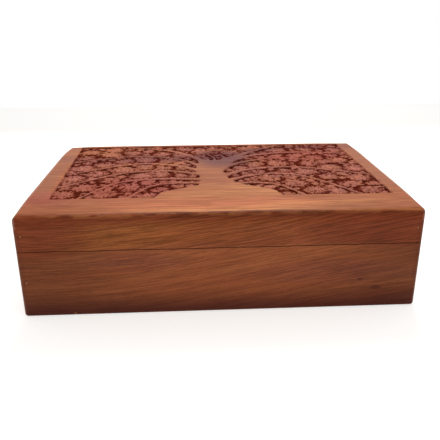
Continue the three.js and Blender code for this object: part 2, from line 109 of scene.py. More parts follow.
# How far a hand-made rim wanders at most, either way
RIM_WANDER = 0.45 * MM

# The carved field, in millimetres from the middle of the lid
FIELD_LEFT = -112.6
FIELD_RIGHT = 114.8
FIELD_FRONT = -56.5
FIELD_REAR = 83.0
FIELD_MIDDLE = (FIELD_LEFT + FIELD_RIGHT) / 2

# How far the left border leans into the field at its front, and the right one at its rear
FIELD_SLANT_LEFT = 2.6
FIELD_SLANT_RIGHT = 2.4

# The ground and trunk: share of the field's depth, then left and right edge from the field's middle
TRUNK_EDGES = [
    (0, -44, 41), (0.08, -40, 37.5), (0.115, -33, 33), (0.15, -23, 25.5), (0.185, -14.5, 17),
    (0.22, -13, 12), (0.29, -13, 7.8), (0.38, -14, 5.6), (0.45, -15.6, 5.2), (0.52, -15, 7),
    (0.57, -13.2, 10), (0.61, -12, 13.5), (0.65, -9, 16.5),
]

# Branches: half the width at the root in mm, then points as a share of half the field's width from
# its middle and a share of the field's depth
BRANCHES = [
    (2.8, [(-0.06, 0.22), (-0.25, 0.235), (-0.42, 0.185), (-0.54, 0)]),
    (3.2, [(-0.06, 0.28), (-0.34, 0.312), (-0.62, 0.255), (-0.83, 0)]),
    (3.0, [(-0.08, 0.36), (-0.32, 0.455), (-0.62, 0.42), (-1, 0.17)]),
    (3.4, [(-0.08, 0.4), (-0.27, 0.56), (-0.58, 0.6), (-1, 0.4)]),
    (3.0, [(-0.08, 0.5), (-0.25, 0.69), (-0.58, 0.775), (-1, 0.65)]),
    (4.6, [(-0.07, 0.57), (-0.14, 0.73), (-0.33, 0.9), (-0.66, 1)]),
    (2.0, [(-0.05, 0.6), (-0.05, 0.68), (-0.085, 0.74), (-0.13, 0.78)]),
    (1.7, [(-0.01, 0.6), (0, 0.68), (-0.015, 0.74), (-0.04, 0.79)]),
    (1.8, [(0.04, 0.6), (0.06, 0.68), (0.065, 0.74), (0.04, 0.8)]),
    (7.5, [(0.03, 0.58), (0.14, 0.72), (0.28, 0.85), (0.5, 1)]),
    (4.2, [(0.06, 0.58), (0.25, 0.745), (0.6, 0.82), (1, 0.765)]),
    (3.0, [(0.02, 0.45), (0.19, 0.61), (0.52, 0.685), (1, 0.48)]),
    (3.2, [(0, 0.3), (0.2, 0.455), (0.55, 0.49), (1, 0.32)]),
    (2.8, [(0, 0.2), (0.22, 0.35), (0.53, 0.335), (0.83, 0)]),
    (2.6, [(0.03, 0.19), (0.22, 0.22), (0.38, 0.165), (0.49, 0)]),
]
BRANCH_STEPS = 60
BRANCH_TIP_HALF_WIDTH = 0.95

# How leaves are packed, in millimetres: the steps between the places that are tried, the room that
# a leaf keeps from what is round it, and the radii of leaves and of the leaflets between them
PACKING_STEP = 1.5
FINE_PACKING_STEP = 0.75
LEAF_ROOM = 0.55
LEAFLET_ROOM = 0.3
LEAF_LARGEST = 8.5
LEAF_SMALLEST = 3.8
LEAFLET_SMALLEST = 1.4

# The leaves' shapes: how many lobes they have, the radius from which a leaf has two more, and the
# angle in radians that each is turned on by
LEAF_LOBES = 7
LEAFLET_LOBES = 5
BROAD_LEAF = 6.5
LEAF_TURN = 2.4
LEAF_SEED = 11

# In millimetres: the groove inside the border, how softly branches run into the trunk, the fine
# grid's reach past the field, and what thinning the surface may lift a point by
GROOVE_WIDTH = 0.9
TREE_BLEND = 0.8
FIELD_MARGIN = 0.6
HEIGHT_RESERVE = 0.02

# The camera's place in metres and its directions, fitted to the box's edges in the photograph
CAMERA_PLACE = (-0.01884, -0.39341, 0.1814)
CAMERA_FORWARD = (0.05222, 0.93068, -0.36209)
CAMERA_RIGHT = (0.99838, -0.05682, -0.00207)


# Settings

def length_of(name, description, millimetres):
    """A setting that holds a length."""
    return bpy.props.FloatProperty(
        name=name, description=description, default=millimetres * MM, unit="LENGTH"
    )


def number_of(name, description, default):
    """A setting that holds a whole number."""
    return bpy.props.IntProperty(name=name, description=description, default=default)


def colour_of(name, description, default):
    """A setting that holds a colour."""
    return bpy.props.FloatVectorProperty(
        name=name, description=description, subtype="COLOR", default=default, min=0, max=1
    )


class CarvingSettings(bpy.types.PropertyGroup):
    depth: length_of("Depth", "How deep the field is sunk", 2)
    cell: length_of("Cell", "Spacing of the carved surface's points", 0.42)
    leaf_drop: length_of("Leaf drop", "How far the leaves lie below the plain border", 0.45)
    triangles: number_of("Triangles", "About how many triangles the top board keeps", 185000)


class BoardSettings(bpy.types.PropertyGroup):
    corner: length_of("Corner rounding", "Radius of the upright outside edges", 3)
    foot: length_of("Foot rounding", "Radius of the lowest outside edges", 1.4)
    rim: length_of("Rim easing", "Width of the eased outside edges at the seam", 0.25)
    inner_rim: length_of("Inner rim easing", "Width of the eased inside edges at the seam", 0.4)
    joint: length_of("Joint easing", "Width of the eased edges where two boards meet", 0.12)
    saw_wave: length_of("Saw wave", "How far the seam wanders up and down", 0.9)
    stations: number_of("Stations", "Cuts across a board that let its rim wander", 44)
    rebate: length_of("Rebate", "How far the bottom panel is let into the boards", 5)
    bevel_angle: bpy.props.FloatProperty(
        name="Back bevel", description="Slope of the bevels along the hinged edges",
        default=math.radians(50.6), subtype="ANGLE",
    )
    top_edge: length_of("Top edge", "Radius of the lid's upper edge along its middle", 1.9)
    top_edge_at_corners: length_of(
        "Top edge at corners", "What the corners add to the upper edge's radius", 1.8
    )
    rear_corners: length_of(
        "Rear corners", "What the two rubbed rear corners add to that radius", 2.4
    )


class MetalSettings(bpy.types.PropertyGroup):
    leaf: length_of("Leaf", "Thickness of a hinge leaf", 0.9)
    barrel: length_of("Barrel", "Radius of the hinge knuckles", 1.8)
    barrel_room: length_of("Barrel room", "Gap between the knuckles and the wood", 0.35)
    hinge_length: length_of("Hinge length", "Length of a hinge leaf", 25)
    knuckle_gap: length_of("Knuckle gap", "Gap between two knuckles", 0.25)
    pin: length_of("Hinge pin", "Radius of the hinge pin", 0.8)
    fit: length_of("Fit", "Room round pins, screws and nails in their holes", 0.1)
    screw_head: length_of("Screw head", "Radius of a screw's head", 1.3)
    screw_slot: length_of("Screw slot", "Width of a screw's slot", 0.4)
    brad_head: length_of("Brad head", "Radius of a brad's head", 0.95)
    panel_pin_head: length_of("Panel pin head", "Radius of a panel pin's head", 0.9)


class FinishSettings(bpy.types.PropertyGroup):
    light_wood: colour_of("Light wood", "The plain top's colour", (0.575, 0.214, 0.074))
    middle_wood: colour_of("Middle wood", "The streaks on the top", (0.43, 0.125, 0.048))
    side_wood: colour_of("Side wood", "The sides' main colour", (0.36, 0.108, 0.040))
    honey: colour_of("Honey", "The yellowish bands of the sides", (0.43, 0.13, 0.034))
    russet: colour_of("Russet", "The reddish bands of the sides", (0.26, 0.054, 0.02))
    plum: colour_of("Plum", "The dark veins", (0.075, 0.015, 0.011))
    slate: colour_of("Slate", "The grey violet vein across the carving", (0.16, 0.046, 0.043))
    ruby: colour_of("Ruby", "Redder patches of the carved field", (0.38, 0.075, 0.05))
    carved_wood: colour_of(
        "Carved wood", "The leaves, redder than the plain top", (0.39, 0.115, 0.078)
    )
    raised_wood: colour_of("Raised wood", "The highest parts of the leaves", (0.47, 0.165, 0.12))
    # Painted reflection: the grey that the lid's two ends are tinted with, for the white room that
    # their rounded edges reflect
    grey_reflection: colour_of("Ash brown", "The greyer wood along the lid's two ends", (0.30, 0.13, 0.085))
    # Darker stain and painted shade: what the carved hollows are tinted towards
    hollow_stain_and_shade: colour_of(
        "Hollow wood", "The bottoms of the carved hollows", (0.095, 0.009, 0.004)
    )
    raw_wood: colour_of("Raw wood", "The plain sanded inside", (0.40, 0.19, 0.085))
    brass: colour_of("Brass", "Hinges and screws", (0.52, 0.34, 0.12))
    steel: colour_of("Steel", "Brads and panel pins", (0.27, 0.1, 0.045))


class StageSettings(bpy.types.PropertyGroup):
    lens: bpy.props.FloatProperty(
        name="Lens", description="Focal length in millimetres", default=44.85, unit="CAMERA"
    )
    sky: bpy.props.FloatProperty(
        name="Sky", description="Strength of the light from all round", default=0.68
    )
    lamp: bpy.props.FloatProperty(
        name="Lamp", description="Power of the soft lamp above", default=8.0, unit="POWER"
    )
    floor: colour_of("Floor", "The floor's colour", (0.80, 0.79, 0.77))
    glow: bpy.props.FloatProperty(
        name="Glow", description="What the floor adds to its own picture", default=0.55
    )


def settings():
    """The box's settings, as the panel shows them."""
    return bpy.context.scene.keepsake_box


class BoxSettings(bpy.types.PropertyGroup):
    carving: bpy.props.PointerProperty(type=CarvingSettings)
    boards: bpy.props.PointerProperty(type=BoardSettings)
    metal: bpy.props.PointerProperty(type=MetalSettings)
    finish: bpy.props.PointerProperty(type=FinishSettings)
    stage: bpy.props.PointerProperty(type=StageSettings)


# Modelling by hand

def deselect_all():
    bpy.ops.object.select_all(action="DESELECT")


def make_active(piece):
    deselect_all()
    piece.select_set(True)
    bpy.context.view_layer.objects.active = piece


def start_editing(piece):
    make_active(piece)
    bpy.ops.object.mode_set(mode="EDIT")


def stop_editing():
    bpy.ops.object.mode_set(mode="OBJECT")


def apply_place(piece):
    make_active(piece)
    bpy.ops.object.transform_apply(location=True, rotation=True, scale=True)


def add_block(name, low, high):
    """A block between two corners, its place in its mesh."""
    deselect_all()
    bpy.ops.mesh.primitive_cube_add(size=1, location=(low + high) / 2, scale=high - low)
    piece = bpy.context.object
    piece.name = piece.data.name = name
    apply_place(piece)
    return piece


def copy_piece(piece, name):
    """A copy of a piece, with its own mesh."""
    make_active(piece)
    bpy.ops.object.duplicate()
    copy = bpy.context.object
    copy.name = copy.data.name = name
    return copy


def turn_piece(name, rings, sides):
    """A turned piece that stands upright, from rings of radius and height."""
    radius, height = rings[0]
    deselect_all()
    bpy.ops.mesh.primitive_circle_add(
        vertices=sides, radius=radius, fill_type="NGON", location=(0, 0, height)
    )
    piece = bpy.context.object
    piece.name = piece.data.name = name
    apply_place(piece)
    start_editing(piece)
    bpy.ops.mesh.select_all(action="SELECT")
    for next_radius, next_height in rings[1:]:
        climb = (0, 0, next_height - height)
        bpy.ops.mesh.extrude_region_move(TRANSFORM_OT_translate={"value": climb})
        scale = next_radius / radius
        bpy.ops.transform.resize(value=(scale, scale, 1), center_override=(0, 0, next_height))
        radius, height = next_radius, next_height
    bpy.ops.mesh.select_all(action="SELECT")
    bpy.ops.mesh.normals_make_consistent(inside=False)
    stop_editing()
    return piece


def stand_at(piece, spot, direction):
    """Moves an upright piece's height 0 to a spot and turns it to point in a direction."""
    piece.rotation_euler = Vector((0, 0, 1)).rotation_difference(direction).to_euler()
    piece.location = spot
    apply_place(piece)


def add_turned(name, rings, sides, spot, direction):
    """A turned piece at a spot, pointing in a direction."""
    piece = turn_piece(name, rings, sides)
    stand_at(piece, spot, direction)
    return piece


def select_edges(piece, chosen):
    """In edit mode, selects the edges whose two ends pass a test."""
    bpy.ops.mesh.select_mode(type="EDGE")
    bpy.ops.mesh.select_all(action="DESELECT")
    mesh = bmesh.from_edit_mesh(piece.data)
    for edge in mesh.edges:
        if chosen(edge.verts[0].co, edge.verts[1].co):
            edge.select_set(True)
    bmesh.update_edit_mesh(piece.data)


def every_edge(a, b):
    """The test that every edge passes."""
    return True


def bevel_edges(piece, chosen, width, segments):
    """Rounds the edges whose two ends pass a test."""
    start_editing(piece)
    select_edges(piece, chosen)
    bpy.ops.mesh.bevel(offset=width, segments=segments, affect="EDGES")
    stop_editing()


def combine(piece, other, operation):
    """Cuts another piece from this one, or joins it on, and takes the other away."""
    make_active(piece)
    bpy.ops.object.modifier_add(type="BOOLEAN")
    modifier = piece.modifiers[-1]
    modifier.operation = operation
    modifier.solver = "MANIFOLD"
    modifier.object = other
    bpy.ops.object.modifier_apply(modifier=modifier.name)
    bpy.data.objects.remove(other)


def smooth(piece, degrees=SMOOTH_ANGLE):
    """Smooths what turns less than an angle and keeps flat faces flat."""
    make_active(piece)
    bpy.ops.object.shade_smooth_by_angle(angle=math.radians(degrees))
    bpy.ops.object.modifier_add(type="WEIGHTED_NORMAL")
    modifier = piece.modifiers[-1]
    modifier.keep_sharp = True
    modifier.weight = 100
    bpy.ops.object.modifier_apply(modifier=modifier.name)


def finish_piece(piece, node, material):
    """Gives a modelled piece its material and its body, and hides the node that it stands for."""
    piece.data.materials.clear()
    piece.data.materials.append(material)
    body = next(name for name, nodes in BODIES.items() if node in nodes)
    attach(piece, body)
    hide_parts(node)


def near(first, second):
    """Whether two places along a line are the same, but for how a hand-made rim wanders."""
    return abs(first - second) < RIM_WANDER


def on_outline(point):
    """Whether a point lies on the box's outside, seen from above, rounded corners included."""
    corner = settings().boards.corner
    across = abs(point.x) - (HALF_WIDTH - corner)
    along = abs(point.y) - (HALF_DEPTH - corner)
    if across > 0 and along > 0:
        return near(math.hypot(across, along), corner)
    return near(max(across, along), corner)


# The boards

def saw_line():
    """The unevenness of the cut that parts the lid from the base."""
    texture = bpy.data.textures.get("Saw Line")
    if texture is None:
        texture = bpy.data.textures.new("Saw Line", type="CLOUDS")
        texture.noise_scale = 16 * MM
    return texture


def both(test):
    """A test of an edge that asks the same of its two ends."""
    return lambda a, b: test(a) and test(b)


def let_rim_wander(piece, rim, strength):
    """Moves a board's rim up and down a little, as a hand-held saw leaves it."""
    start_editing(piece)
    select_edges(piece, both(lambda point: near(point.z, rim)))
    bpy.ops.object.vertex_group_assign_new()
    stop_editing()
    bpy.ops.object.modifier_add(type="DISPLACE")
    modifier = piece.modifiers[-1]
    modifier.texture = saw_line()
    modifier.texture_coords = "LOCAL"
    modifier.direction = "Z"
    modifier.strength = strength
    modifier.vertex_group = piece.vertex_groups[-1].name
    bpy.ops.object.modifier_apply(modifier=modifier.name)
    piece.vertex_groups.clear()


def shape_board(node, boards):
    """A wall board of the base or the lid, with its eased edges, before anything is cut into it."""
    low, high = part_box(node)
    in_base = near(low.z, 0)
    rim = high.z if in_base else low.z
    long_board = high.x - low.x > high.y - low.y
    shortest_run, shortest_rise = 10 * MM, 5 * MM
    piece = add_block("shaped_" + node, low, high)

    def lengthwise(a, b):
        run = abs(a.x - b.x) if long_board else abs(a.y - b.y)
        return run > shortest_run and near(a.z, b.z)

    def upright(a, b):
        return abs(a.z - b.z) > shortest_rise

    def at_inside(point):
        if long_board:
            return near(abs(point.y), INNER_HALF_DEPTH)
        return near(abs(point.x), INNER_HALF_WIDTH)

    def at_joint(point):
        return near(abs(point.y), INNER_HALF_DEPTH) and near(abs(point.x), HALF_WIDTH)

    def at_corner(point):
        return near(abs(point.x), HALF_WIDTH) and near(abs(point.y), HALF_DEPTH)

    start_editing(piece)
    select_edges(piece, lengthwise)
    bpy.ops.mesh.subdivide(number_cuts=boards.stations)
    stop_editing()
    let_rim_wander(piece, rim, boards.saw_wave)
    if long_board:
        corners = both(at_corner)
        bevel_edges(piece, lambda a, b: upright(a, b) and corners(a, b), boards.corner, segments=8)
    if in_base:
        foot = both(lambda point: near(point.z, 0) and on_outline(point))
        bevel_edges(piece, foot, boards.foot, segments=4)
    outer_rim = both(lambda point: near(point.z, rim) and on_outline(point))
    bevel_edges(piece, outer_rim, boards.rim, segments=2)
    inner_rim = both(lambda point: near(point.z, rim) and at_inside(point))
    bevel_edges(piece, inner_rim, boards.inner_rim, segments=2)
    joints = both(at_joint)
    bevel_edges(piece, lambda a, b: upright(a, b) and joints(a, b), boards.joint, segments=1)
    return piece


def bevel_back(piece, rim, in_base, angle):
    """Planes off the back edge outside the hinge line, so that the lid can swing."""
    up = 1 if in_base else -1
    start_editing(piece)
    bpy.ops.mesh.select_all(action="SELECT")
    bpy.ops.mesh.bisect(
        plane_co=(0, HINGE_LINE.y, rim),
        plane_no=(0, math.sin(angle), up * math.cos(angle)),
        use_fill=True, clear_outer=True,
    )
    stop_editing()


def cut_hinge_pockets(piece, in_base, metal):
    """Lets both hinges into a back board: a shallow bed for the leaf and a hollow for the barrel."""
    room = 0.15 * MM
    past = 1 * MM
    half = metal.hinge_length / 2 + room
    opening = LID_RIM - BASE_RIM
    for side in (-1, 1):
        x = side * HINGE_LINE.x
        if in_base:
            bottom, top = BASE_RIM - metal.leaf, HINGE_LINE.z + past
        else:
            bottom, top = HINGE_LINE.z - past, LID_RIM + metal.leaf
        bed = add_block(
            "bed", Vector((x - half, INNER_HALF_DEPTH - past, bottom)),
            Vector((x + half, HINGE_LINE.y, top)),
        )
        combine(piece, bed, "DIFFERENCE")
        reach = half + opening + metal.leaf / 2
        radius = metal.barrel + metal.barrel_room
        hollow = add_turned(
            "hollow", [(radius, -reach), (radius, reach)], HOLLOW_SIDES,
            Vector((x, HINGE_LINE.y, HINGE_LINE.z)), Vector((1, 0, 0)),
        )
        combine(piece, hollow, "DIFFERENCE")


# Nails and screws: rings of radius and height in mm, from the tip to the head's top at height 0

def nail_rings(size, head):
    """A nail with a short point and a flat head with a worn rim."""
    length, radius, thickness = size["length"], size["radius"], size["thickness"]
    return [
        (radius * 0.15, -length), (radius, 2 * radius - length), (radius, -thickness),
        (head, -thickness), (head, -0.35 * thickness), (0.86 * head, -0.1 * thickness),
        (0.55 * head, 0),
    ]


def screw_rings(head):
    """A wood screw with eight turns of thread, and a countersunk head."""
    length, radius, thickness = SCREW["length"], SCREW["radius"], SCREW["thickness"]
    turns, pitch, lowest_turn = 8, 0.5, -5.8
    root, crest = 0.48, 0.64
    rings = [(0.1, -length), (0.45, -5.9)]
    for turn in range(turns):
        height = lowest_turn + pitch * turn
        rings += [(root, height), (crest, height + 0.12), (crest, height + 0.2), (root, height + 0.34)]
    return rings + [(radius, -1.7), (radius, -thickness), (head, -0.06), (head - 0.05, 0)]


def nail_place(node):
    """Where a nail's or screw's head lies, and which way it points out of the wood."""
    low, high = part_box(node)
    middle = (low + high) / 2
    if "brad" in node:
        out = Vector((0, math.copysign(1, middle.y), 0))
        return Vector((middle.x, high.y if out.y > 0 else low.y, middle.z)), out
    if "base_hinge" in node:
        return Vector((middle.x, middle.y, high.z)), Vector((0, 0, 1))
    return Vector((middle.x, middle.y, low.z)), Vector((0, 0, -1))


def in_metres(rings):
    """Rings of radius and height in millimetres, turned into metres."""
    return [(radius * MM, height * MM) for radius, height in rings]


def drill(piece, nodes, size, head, fit):
    """Bores the holes for nails or screws that reach this piece."""
    fit = fit / MM
    radius, head = size["radius"] + fit, head / MM + fit
    tip, seat, clear = -size["length"] - fit, -size["thickness"] - fit, 1.5
    rings = in_metres([(radius, tip), (radius, seat), (head, seat), (head, clear)])
    corners = [Vector(corner) for corner in piece.bound_box]
    low = Vector([min(corner[axis] for corner in corners) for axis in range(3)])
    high = Vector([max(corner[axis] for corner in corners) for axis in range(3)])
    for node in nodes:
        nail_low, nail_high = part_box(node)
        if all(nail_low[axis] < high[axis] and nail_high[axis] > low[axis] for axis in range(3)):
            hole = add_turned("hole", rings, PIN_SIDES, *nail_place(node))
            combine(piece, hole, "DIFFERENCE")


# The hinges

def make_leaf(node, in_base, middle, metal):
    """A hinge leaf with its knuckles, bored for the pin and countersunk for its screws."""
    half = metal.hinge_length / 2
    knuckle = (metal.hinge_length - (KNUCKLES - 1) * metal.knuckle_gap) / KNUCKLES
    sideways = Vector((1, 0, 0))
    leaf_ease, knuckle_ease = 0.12 * MM, 0.14 * MM
    bottom, top = BASE_RIM - metal.leaf, BASE_RIM
    if not in_base:
        bottom, top = LID_RIM, LID_RIM + metal.leaf
    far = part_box(node)[0].y
    near_barrel = middle.y - metal.barrel - metal.barrel_room
    piece = add_block(
        "shaped_" + node, Vector((middle.x - half, far, bottom)),
        Vector((middle.x + half, near_barrel, top)),
    )
    bevel_edges(piece, every_edge, leaf_ease, segments=2)
    first = 0 if in_base else 1
    for index in range(first, KNUCKLES, 2):
        start = index * (knuckle + metal.knuckle_gap) - half
        end = start + knuckle
        rings = [
            (metal.barrel - knuckle_ease, start), (metal.barrel, start + knuckle_ease),
            (metal.barrel, end - knuckle_ease), (metal.barrel - knuckle_ease, end),
        ]
        combine(piece, add_turned("knuckle", rings, KNUCKLE_SIDES, middle, sideways), "UNION")
        neck = add_block(
            "neck", Vector((middle.x + start, near_barrel - metal.leaf, bottom)),
            Vector((middle.x + end, middle.y - metal.pin, top)),
        )
        combine(piece, neck, "UNION")
    bore = metal.pin + metal.fit
    rings = [(bore, -half - MM), (bore, half + MM)]
    combine(piece, add_turned("bore", rings, PIN_SIDES, middle, sideways), "DIFFERENCE")
    clearance, shank = 0.1, 0.75
    seat = metal.screw_head / MM + clearance
    rings = in_metres([(shank, -2), (shank, -0.7), (seat, -0.08), (seat, 0.6)])
    for screw in BASE_SCREWS if in_base else LID_SCREWS:
        spot, out = nail_place(screw)
        if abs(spot.x - middle.x) < half:
            combine(piece, add_turned("seat", rings, PIN_SIDES, spot, out), "DIFFERENCE")
    return piece


def make_hinge_pin(node, middle, metal):
    """A hinge pin with a small domed head at each end."""
    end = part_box(node)[1].x - middle.x
    rim, under_head = 1.2 * MM, end - 0.5 * MM
    head = [
        (0.55 * MM, end), (0.95 * MM, end - 0.05 * MM), (rim, end - 0.22 * MM),
        (rim, under_head), (metal.pin, under_head),
    ]
    rings = [(radius, -height) for radius, height in head] + head[::-1]
    return add_turned("shaped_" + node, rings, PIN_SIDES, middle, Vector((1, 0, 0)))


def finish_brass(piece, node):
    """Smooths a piece of a hinge, gives it its material and body, and hides its node."""
    smooth(piece)
    finish_piece(piece, node, finishes()["brass"])


# The carving's heights, in millimetres

def smooth_step(low, high, value):
    """From 0 to 1, smoothly, while a value goes from low to high."""
    share = np.clip((value - low) / (high - low), 0, 1)
    return share * share * (3 - 2 * share)


def patchy(x, y, pitch, seed):
    """Smooth random patches from 0 to 1, about one pitch across."""
    cells = 96
    table = np.random.default_rng(seed).random((cells + 1, cells + 1))
    across = (x / pitch) % cells
    along = (y / pitch) % cells
    column = np.floor(across).astype(int)
    row = np.floor(along).astype(int)
    right = smooth_step(0, 1, across - column)
    up = smooth_step(0, 1, along - row)
    lower = table[row, column] * (1 - right) + table[row, column + 1] * right
    upper = table[row + 1, column] * (1 - right) + table[row + 1, column + 1] * right
    return lower * (1 - up) + upper * up


def uneven(x, y, pitch, seed):
    """Smooth random patches from -0.5 to 0.5."""
    return patchy(x, y, pitch, seed) - 0.5


def field_point(across, along):
    """A place in the field, from shares of half its width and of its depth."""
    x = FIELD_MIDDLE + across * (FIELD_RIGHT - FIELD_LEFT) / 2
    return np.array((x, FIELD_FRONT + along * (FIELD_REAR - FIELD_FRONT)))


def branch_line(branch):
    """Points along a branch, each with its half width, which thins towards the tip."""
    root_half_width, shares = branch
    points = [field_point(*share) for share in shares]
    last = len(points) - 1
    line = []
    for step in range(BRANCH_STEPS + 1):
        share = step / BRANCH_STEPS
        index = min(int(last * share), last - 1)
        weight = last * share - index
        before = points[max(index - 1, 0)]
        start = points[index]
        end = points[index + 1]
        after = points[min(index + 2, last)]
        leave = (end - before) / 2
        arrive = (after - start) / 2
        place = (
            (2 * start - 2 * end + leave + arrive) * weight**3
            + (-3 * start + 3 * end - 2 * leave - arrive) * weight**2
            + leave * weight
            + start
        )
        thinning = math.sqrt(share)
        half_width = root_half_width * (1 - thinning) + BRANCH_TIP_HALF_WIDTH * thinning
        line.append((place[0], place[1], half_width))
    return line


def trunk_outline():
    """The corners of the ground and trunk, which run on a little past the field's front."""
    depth = FIELD_REAR - FIELD_FRONT
    left = [(FIELD_MIDDLE + x, FIELD_FRONT + along * depth) for along, x, _ in TRUNK_EDGES]
    right = [(FIELD_MIDDLE + x, FIELD_FRONT + along * depth) for along, _, x in TRUNK_EDGES]
    ends = [(x, y - 1) for x, y in (left[0], right[0])]
    return [ends[0], *left, *reversed(right), ends[1]]


def distance_from(outline, x, y):
    """How far points lie from a closed outline; negative inside it."""
    nearest = np.full(x.shape, np.inf)
    inside = np.zeros(x.shape, bool)
    for (x0, y0), (x1, y1) in zip(outline, outline[1:] + outline[:1]):
        run, rise = x1 - x0, y1 - y0
        share = np.clip(((x - x0) * run + (y - y0) * rise) / (run * run + rise * rise), 0, 1)
        nearest = np.minimum(nearest, np.hypot(x - x0 - share * run, y - y0 - share * rise))
        if y0 != y1:
            crosses = ((y0 > y) != (y1 > y)) & (x < x0 + (y - y0) / (y1 - y0) * run)
            inside ^= crosses
    return np.where(inside, -nearest, nearest)


def pack_leaves():
    """Fills what the branches leave free: leaves first, the largest first, then small leaflets."""
    branch_points = [point for branch in BRANCHES for point in branch_line(branch)]

    def free_room(step):
        across = np.arange(FIELD_LEFT, FIELD_RIGHT, step)
        along = np.arange(FIELD_FRONT, FIELD_REAR, step)
        x, y = (grid.ravel() for grid in np.meshgrid(across, along))
        border = np.minimum(np.minimum(x - FIELD_LEFT, FIELD_RIGHT - x), FIELD_REAR - y)
        room = np.minimum(border - GROOVE_WIDTH, y - FIELD_FRONT)
        room = np.minimum(room, distance_from(trunk_outline(), x, y))
        for branch_x, branch_y, half_width in branch_points:
            room = np.minimum(room, np.hypot(x - branch_x, y - branch_y) - half_width)
        return x, y, room

    leaves = []
    for step, gap, largest, smallest in (
        (PACKING_STEP, LEAF_ROOM, LEAF_LARGEST, LEAF_SMALLEST),
        (FINE_PACKING_STEP, LEAFLET_ROOM, LEAF_SMALLEST, LEAFLET_SMALLEST),
    ):
        x, y, room = free_room(step)
        for leaf_x, leaf_y, radius in leaves:
            room = np.minimum(room, np.hypot(x - leaf_x, y - leaf_y) - radius)
        while True:
            size = np.minimum(room - gap, largest)
            best = int(np.argmax(size))
            if size[best] < smallest:
                break
            leaves.append((x[best], y[best], size[best]))
            room = np.minimum(room, np.hypot(x - x[best], y - y[best]) - size[best])
    return leaves


def window(lines, middle, reach):
    """The lines of a grid that lie within a reach of a middle."""
    start, end = np.searchsorted(lines, (middle - reach, middle + reach))
    return slice(start, end)


def leaf_relief(x, y, leaf, index):
    """How far points lie inside a leaf's edge, and the shape of its veined upper side."""
    vein_depth, split_depth, roll_depth, tilt_depth, sink_depth = 0.24, 0.75, 0.35, 0.32, 0.14
    stretch_share = 0.1
    mean_reach, lobe_reach, front_notch = 1.08, 0.15, 0.3
    highest = 0.22
    leaf_x, leaf_y, radius = leaf
    rng = np.random.default_rng(index + LEAF_SEED)
    tilt_x, tilt_y, sink, stretch = rng.uniform(-1, 1, 4)
    lobes = LEAFLET_LOBES + index % 2
    if radius >= LEAF_SMALLEST:
        lobes = LEAF_LOBES + index % 3 + 2 * int(radius > BROAD_LEAF)
    away = np.hypot(x - leaf_x, y - leaf_y)
    angle = np.arctan2(y - leaf_y, x - leaf_x) - index * LEAF_TURN
    lobe = np.abs(np.sin(angle * lobes / 2))
    oval = 1 + stretch_share * stretch * np.cos(2 * angle)
    front = np.clip((leaf_y - y) / np.maximum(away, 0.1), 0, 1)
    reach = radius * oval * (mean_reach + lobe_reach * lobe**0.5 - front_notch * front**2)
    inside = reach - away
    turned = (angle * lobes / (2 * math.pi)) % 1 - 0.5
    beside = np.abs(turned) * 2 * math.pi / lobes * away
    outward = away / radius
    vein = vein_depth * (1 - smooth_step(0.1, 0.6, beside)) * smooth_step(0.2, 0.45, outward)
    split = split_depth * (1 - lobe) ** 2 * smooth_step(0.5, 0.95, outward)
    tilt = tilt_depth * (tilt_x * (x - leaf_x) + tilt_y * (y - leaf_y)) / radius
    rolled = -roll_depth * smooth_step(0.65, 1.1, outward)
    shape = tilt - sink_depth * (sink + 1) - vein - split + rolled
    return inside, np.minimum(shape, highest)


def inside_groove(x, y):
    """How far points lie inside the groove along the field's two sides and its rear."""
    share = (y - FIELD_FRONT) / (FIELD_REAR - FIELD_FRONT)
    from_left = x - FIELD_LEFT - FIELD_SLANT_LEFT * (1 - share)
    from_right = FIELD_RIGHT - FIELD_SLANT_RIGHT * share - x
    border = np.minimum(np.minimum(from_left, from_right), FIELD_REAR - y)
    return border - GROOVE_WIDTH


def draw_leaves(across, along, drop):
    """How far the grid's points lie inside a leaf, and the level of the leaf that they are in."""
    far_outside = -9.0
    push, push_pitch = 2.2, 5.2
    widest, margin = 1.3, 3
    x, y = np.meshgrid(across, along)
    # The leaves are drawn on a plane that is pushed about, so that no two look alike
    pushed_x = x + push * uneven(x, y, push_pitch, seed=12)
    pushed_y = y + push * uneven(x, y, push_pitch, seed=13)
    leaves = np.full(x.shape, far_outside)
    level = np.zeros(x.shape)
    for index, leaf in enumerate(pack_leaves()):
        reach = leaf[2] * widest + margin
        area = (window(along, leaf[1], reach), window(across, leaf[0], reach))
        inside, shape = leaf_relief(pushed_x[area], pushed_y[area], leaf, index)
        higher = inside > leaves[area]
        leaves[area] = np.where(higher, inside, leaves[area])
        level[area] = np.where(higher, shape - drop, level[area])
    return leaves, level


def draw_tree(across, along, from_trunk):
    """How far the grid's points lie inside the tree, and how far off the front of a branch."""
    far, far_in_front = 25.0, 9.0
    shadow = 1.1
    margin = 5
    x, y = np.meshgrid(across, along)
    tree = np.exp(-from_trunk.clip(-far, far) / TREE_BLEND)
    in_front = np.full(x.shape, far_in_front)
    for branch in BRANCHES:
        side = np.full(x.shape, -far)
        line = branch_line(branch)
        for start, end in zip(line, line[1:]):
            reach = margin + start[2]
            area = (window(along, start[1], reach), window(across, start[0], reach))
            run, rise = end[0] - start[0], end[1] - start[1]
            along_x, along_y = x[area] - start[0], y[area] - start[1]
            share = np.clip((along_x * run + along_y * rise) / (run**2 + rise**2), 0, 1)
            away = np.hypot(along_x - share * run, along_y - share * rise)
            side[area] = np.maximum(side[area], start[2] - away)
            lower = np.hypot(along_x - share * run, along_y + shadow - share * rise) - start[2]
            in_front[area] = np.minimum(in_front[area], lower)
        tree = tree + np.exp(side / TREE_BLEND)
    return TREE_BLEND * np.log(tree), in_front


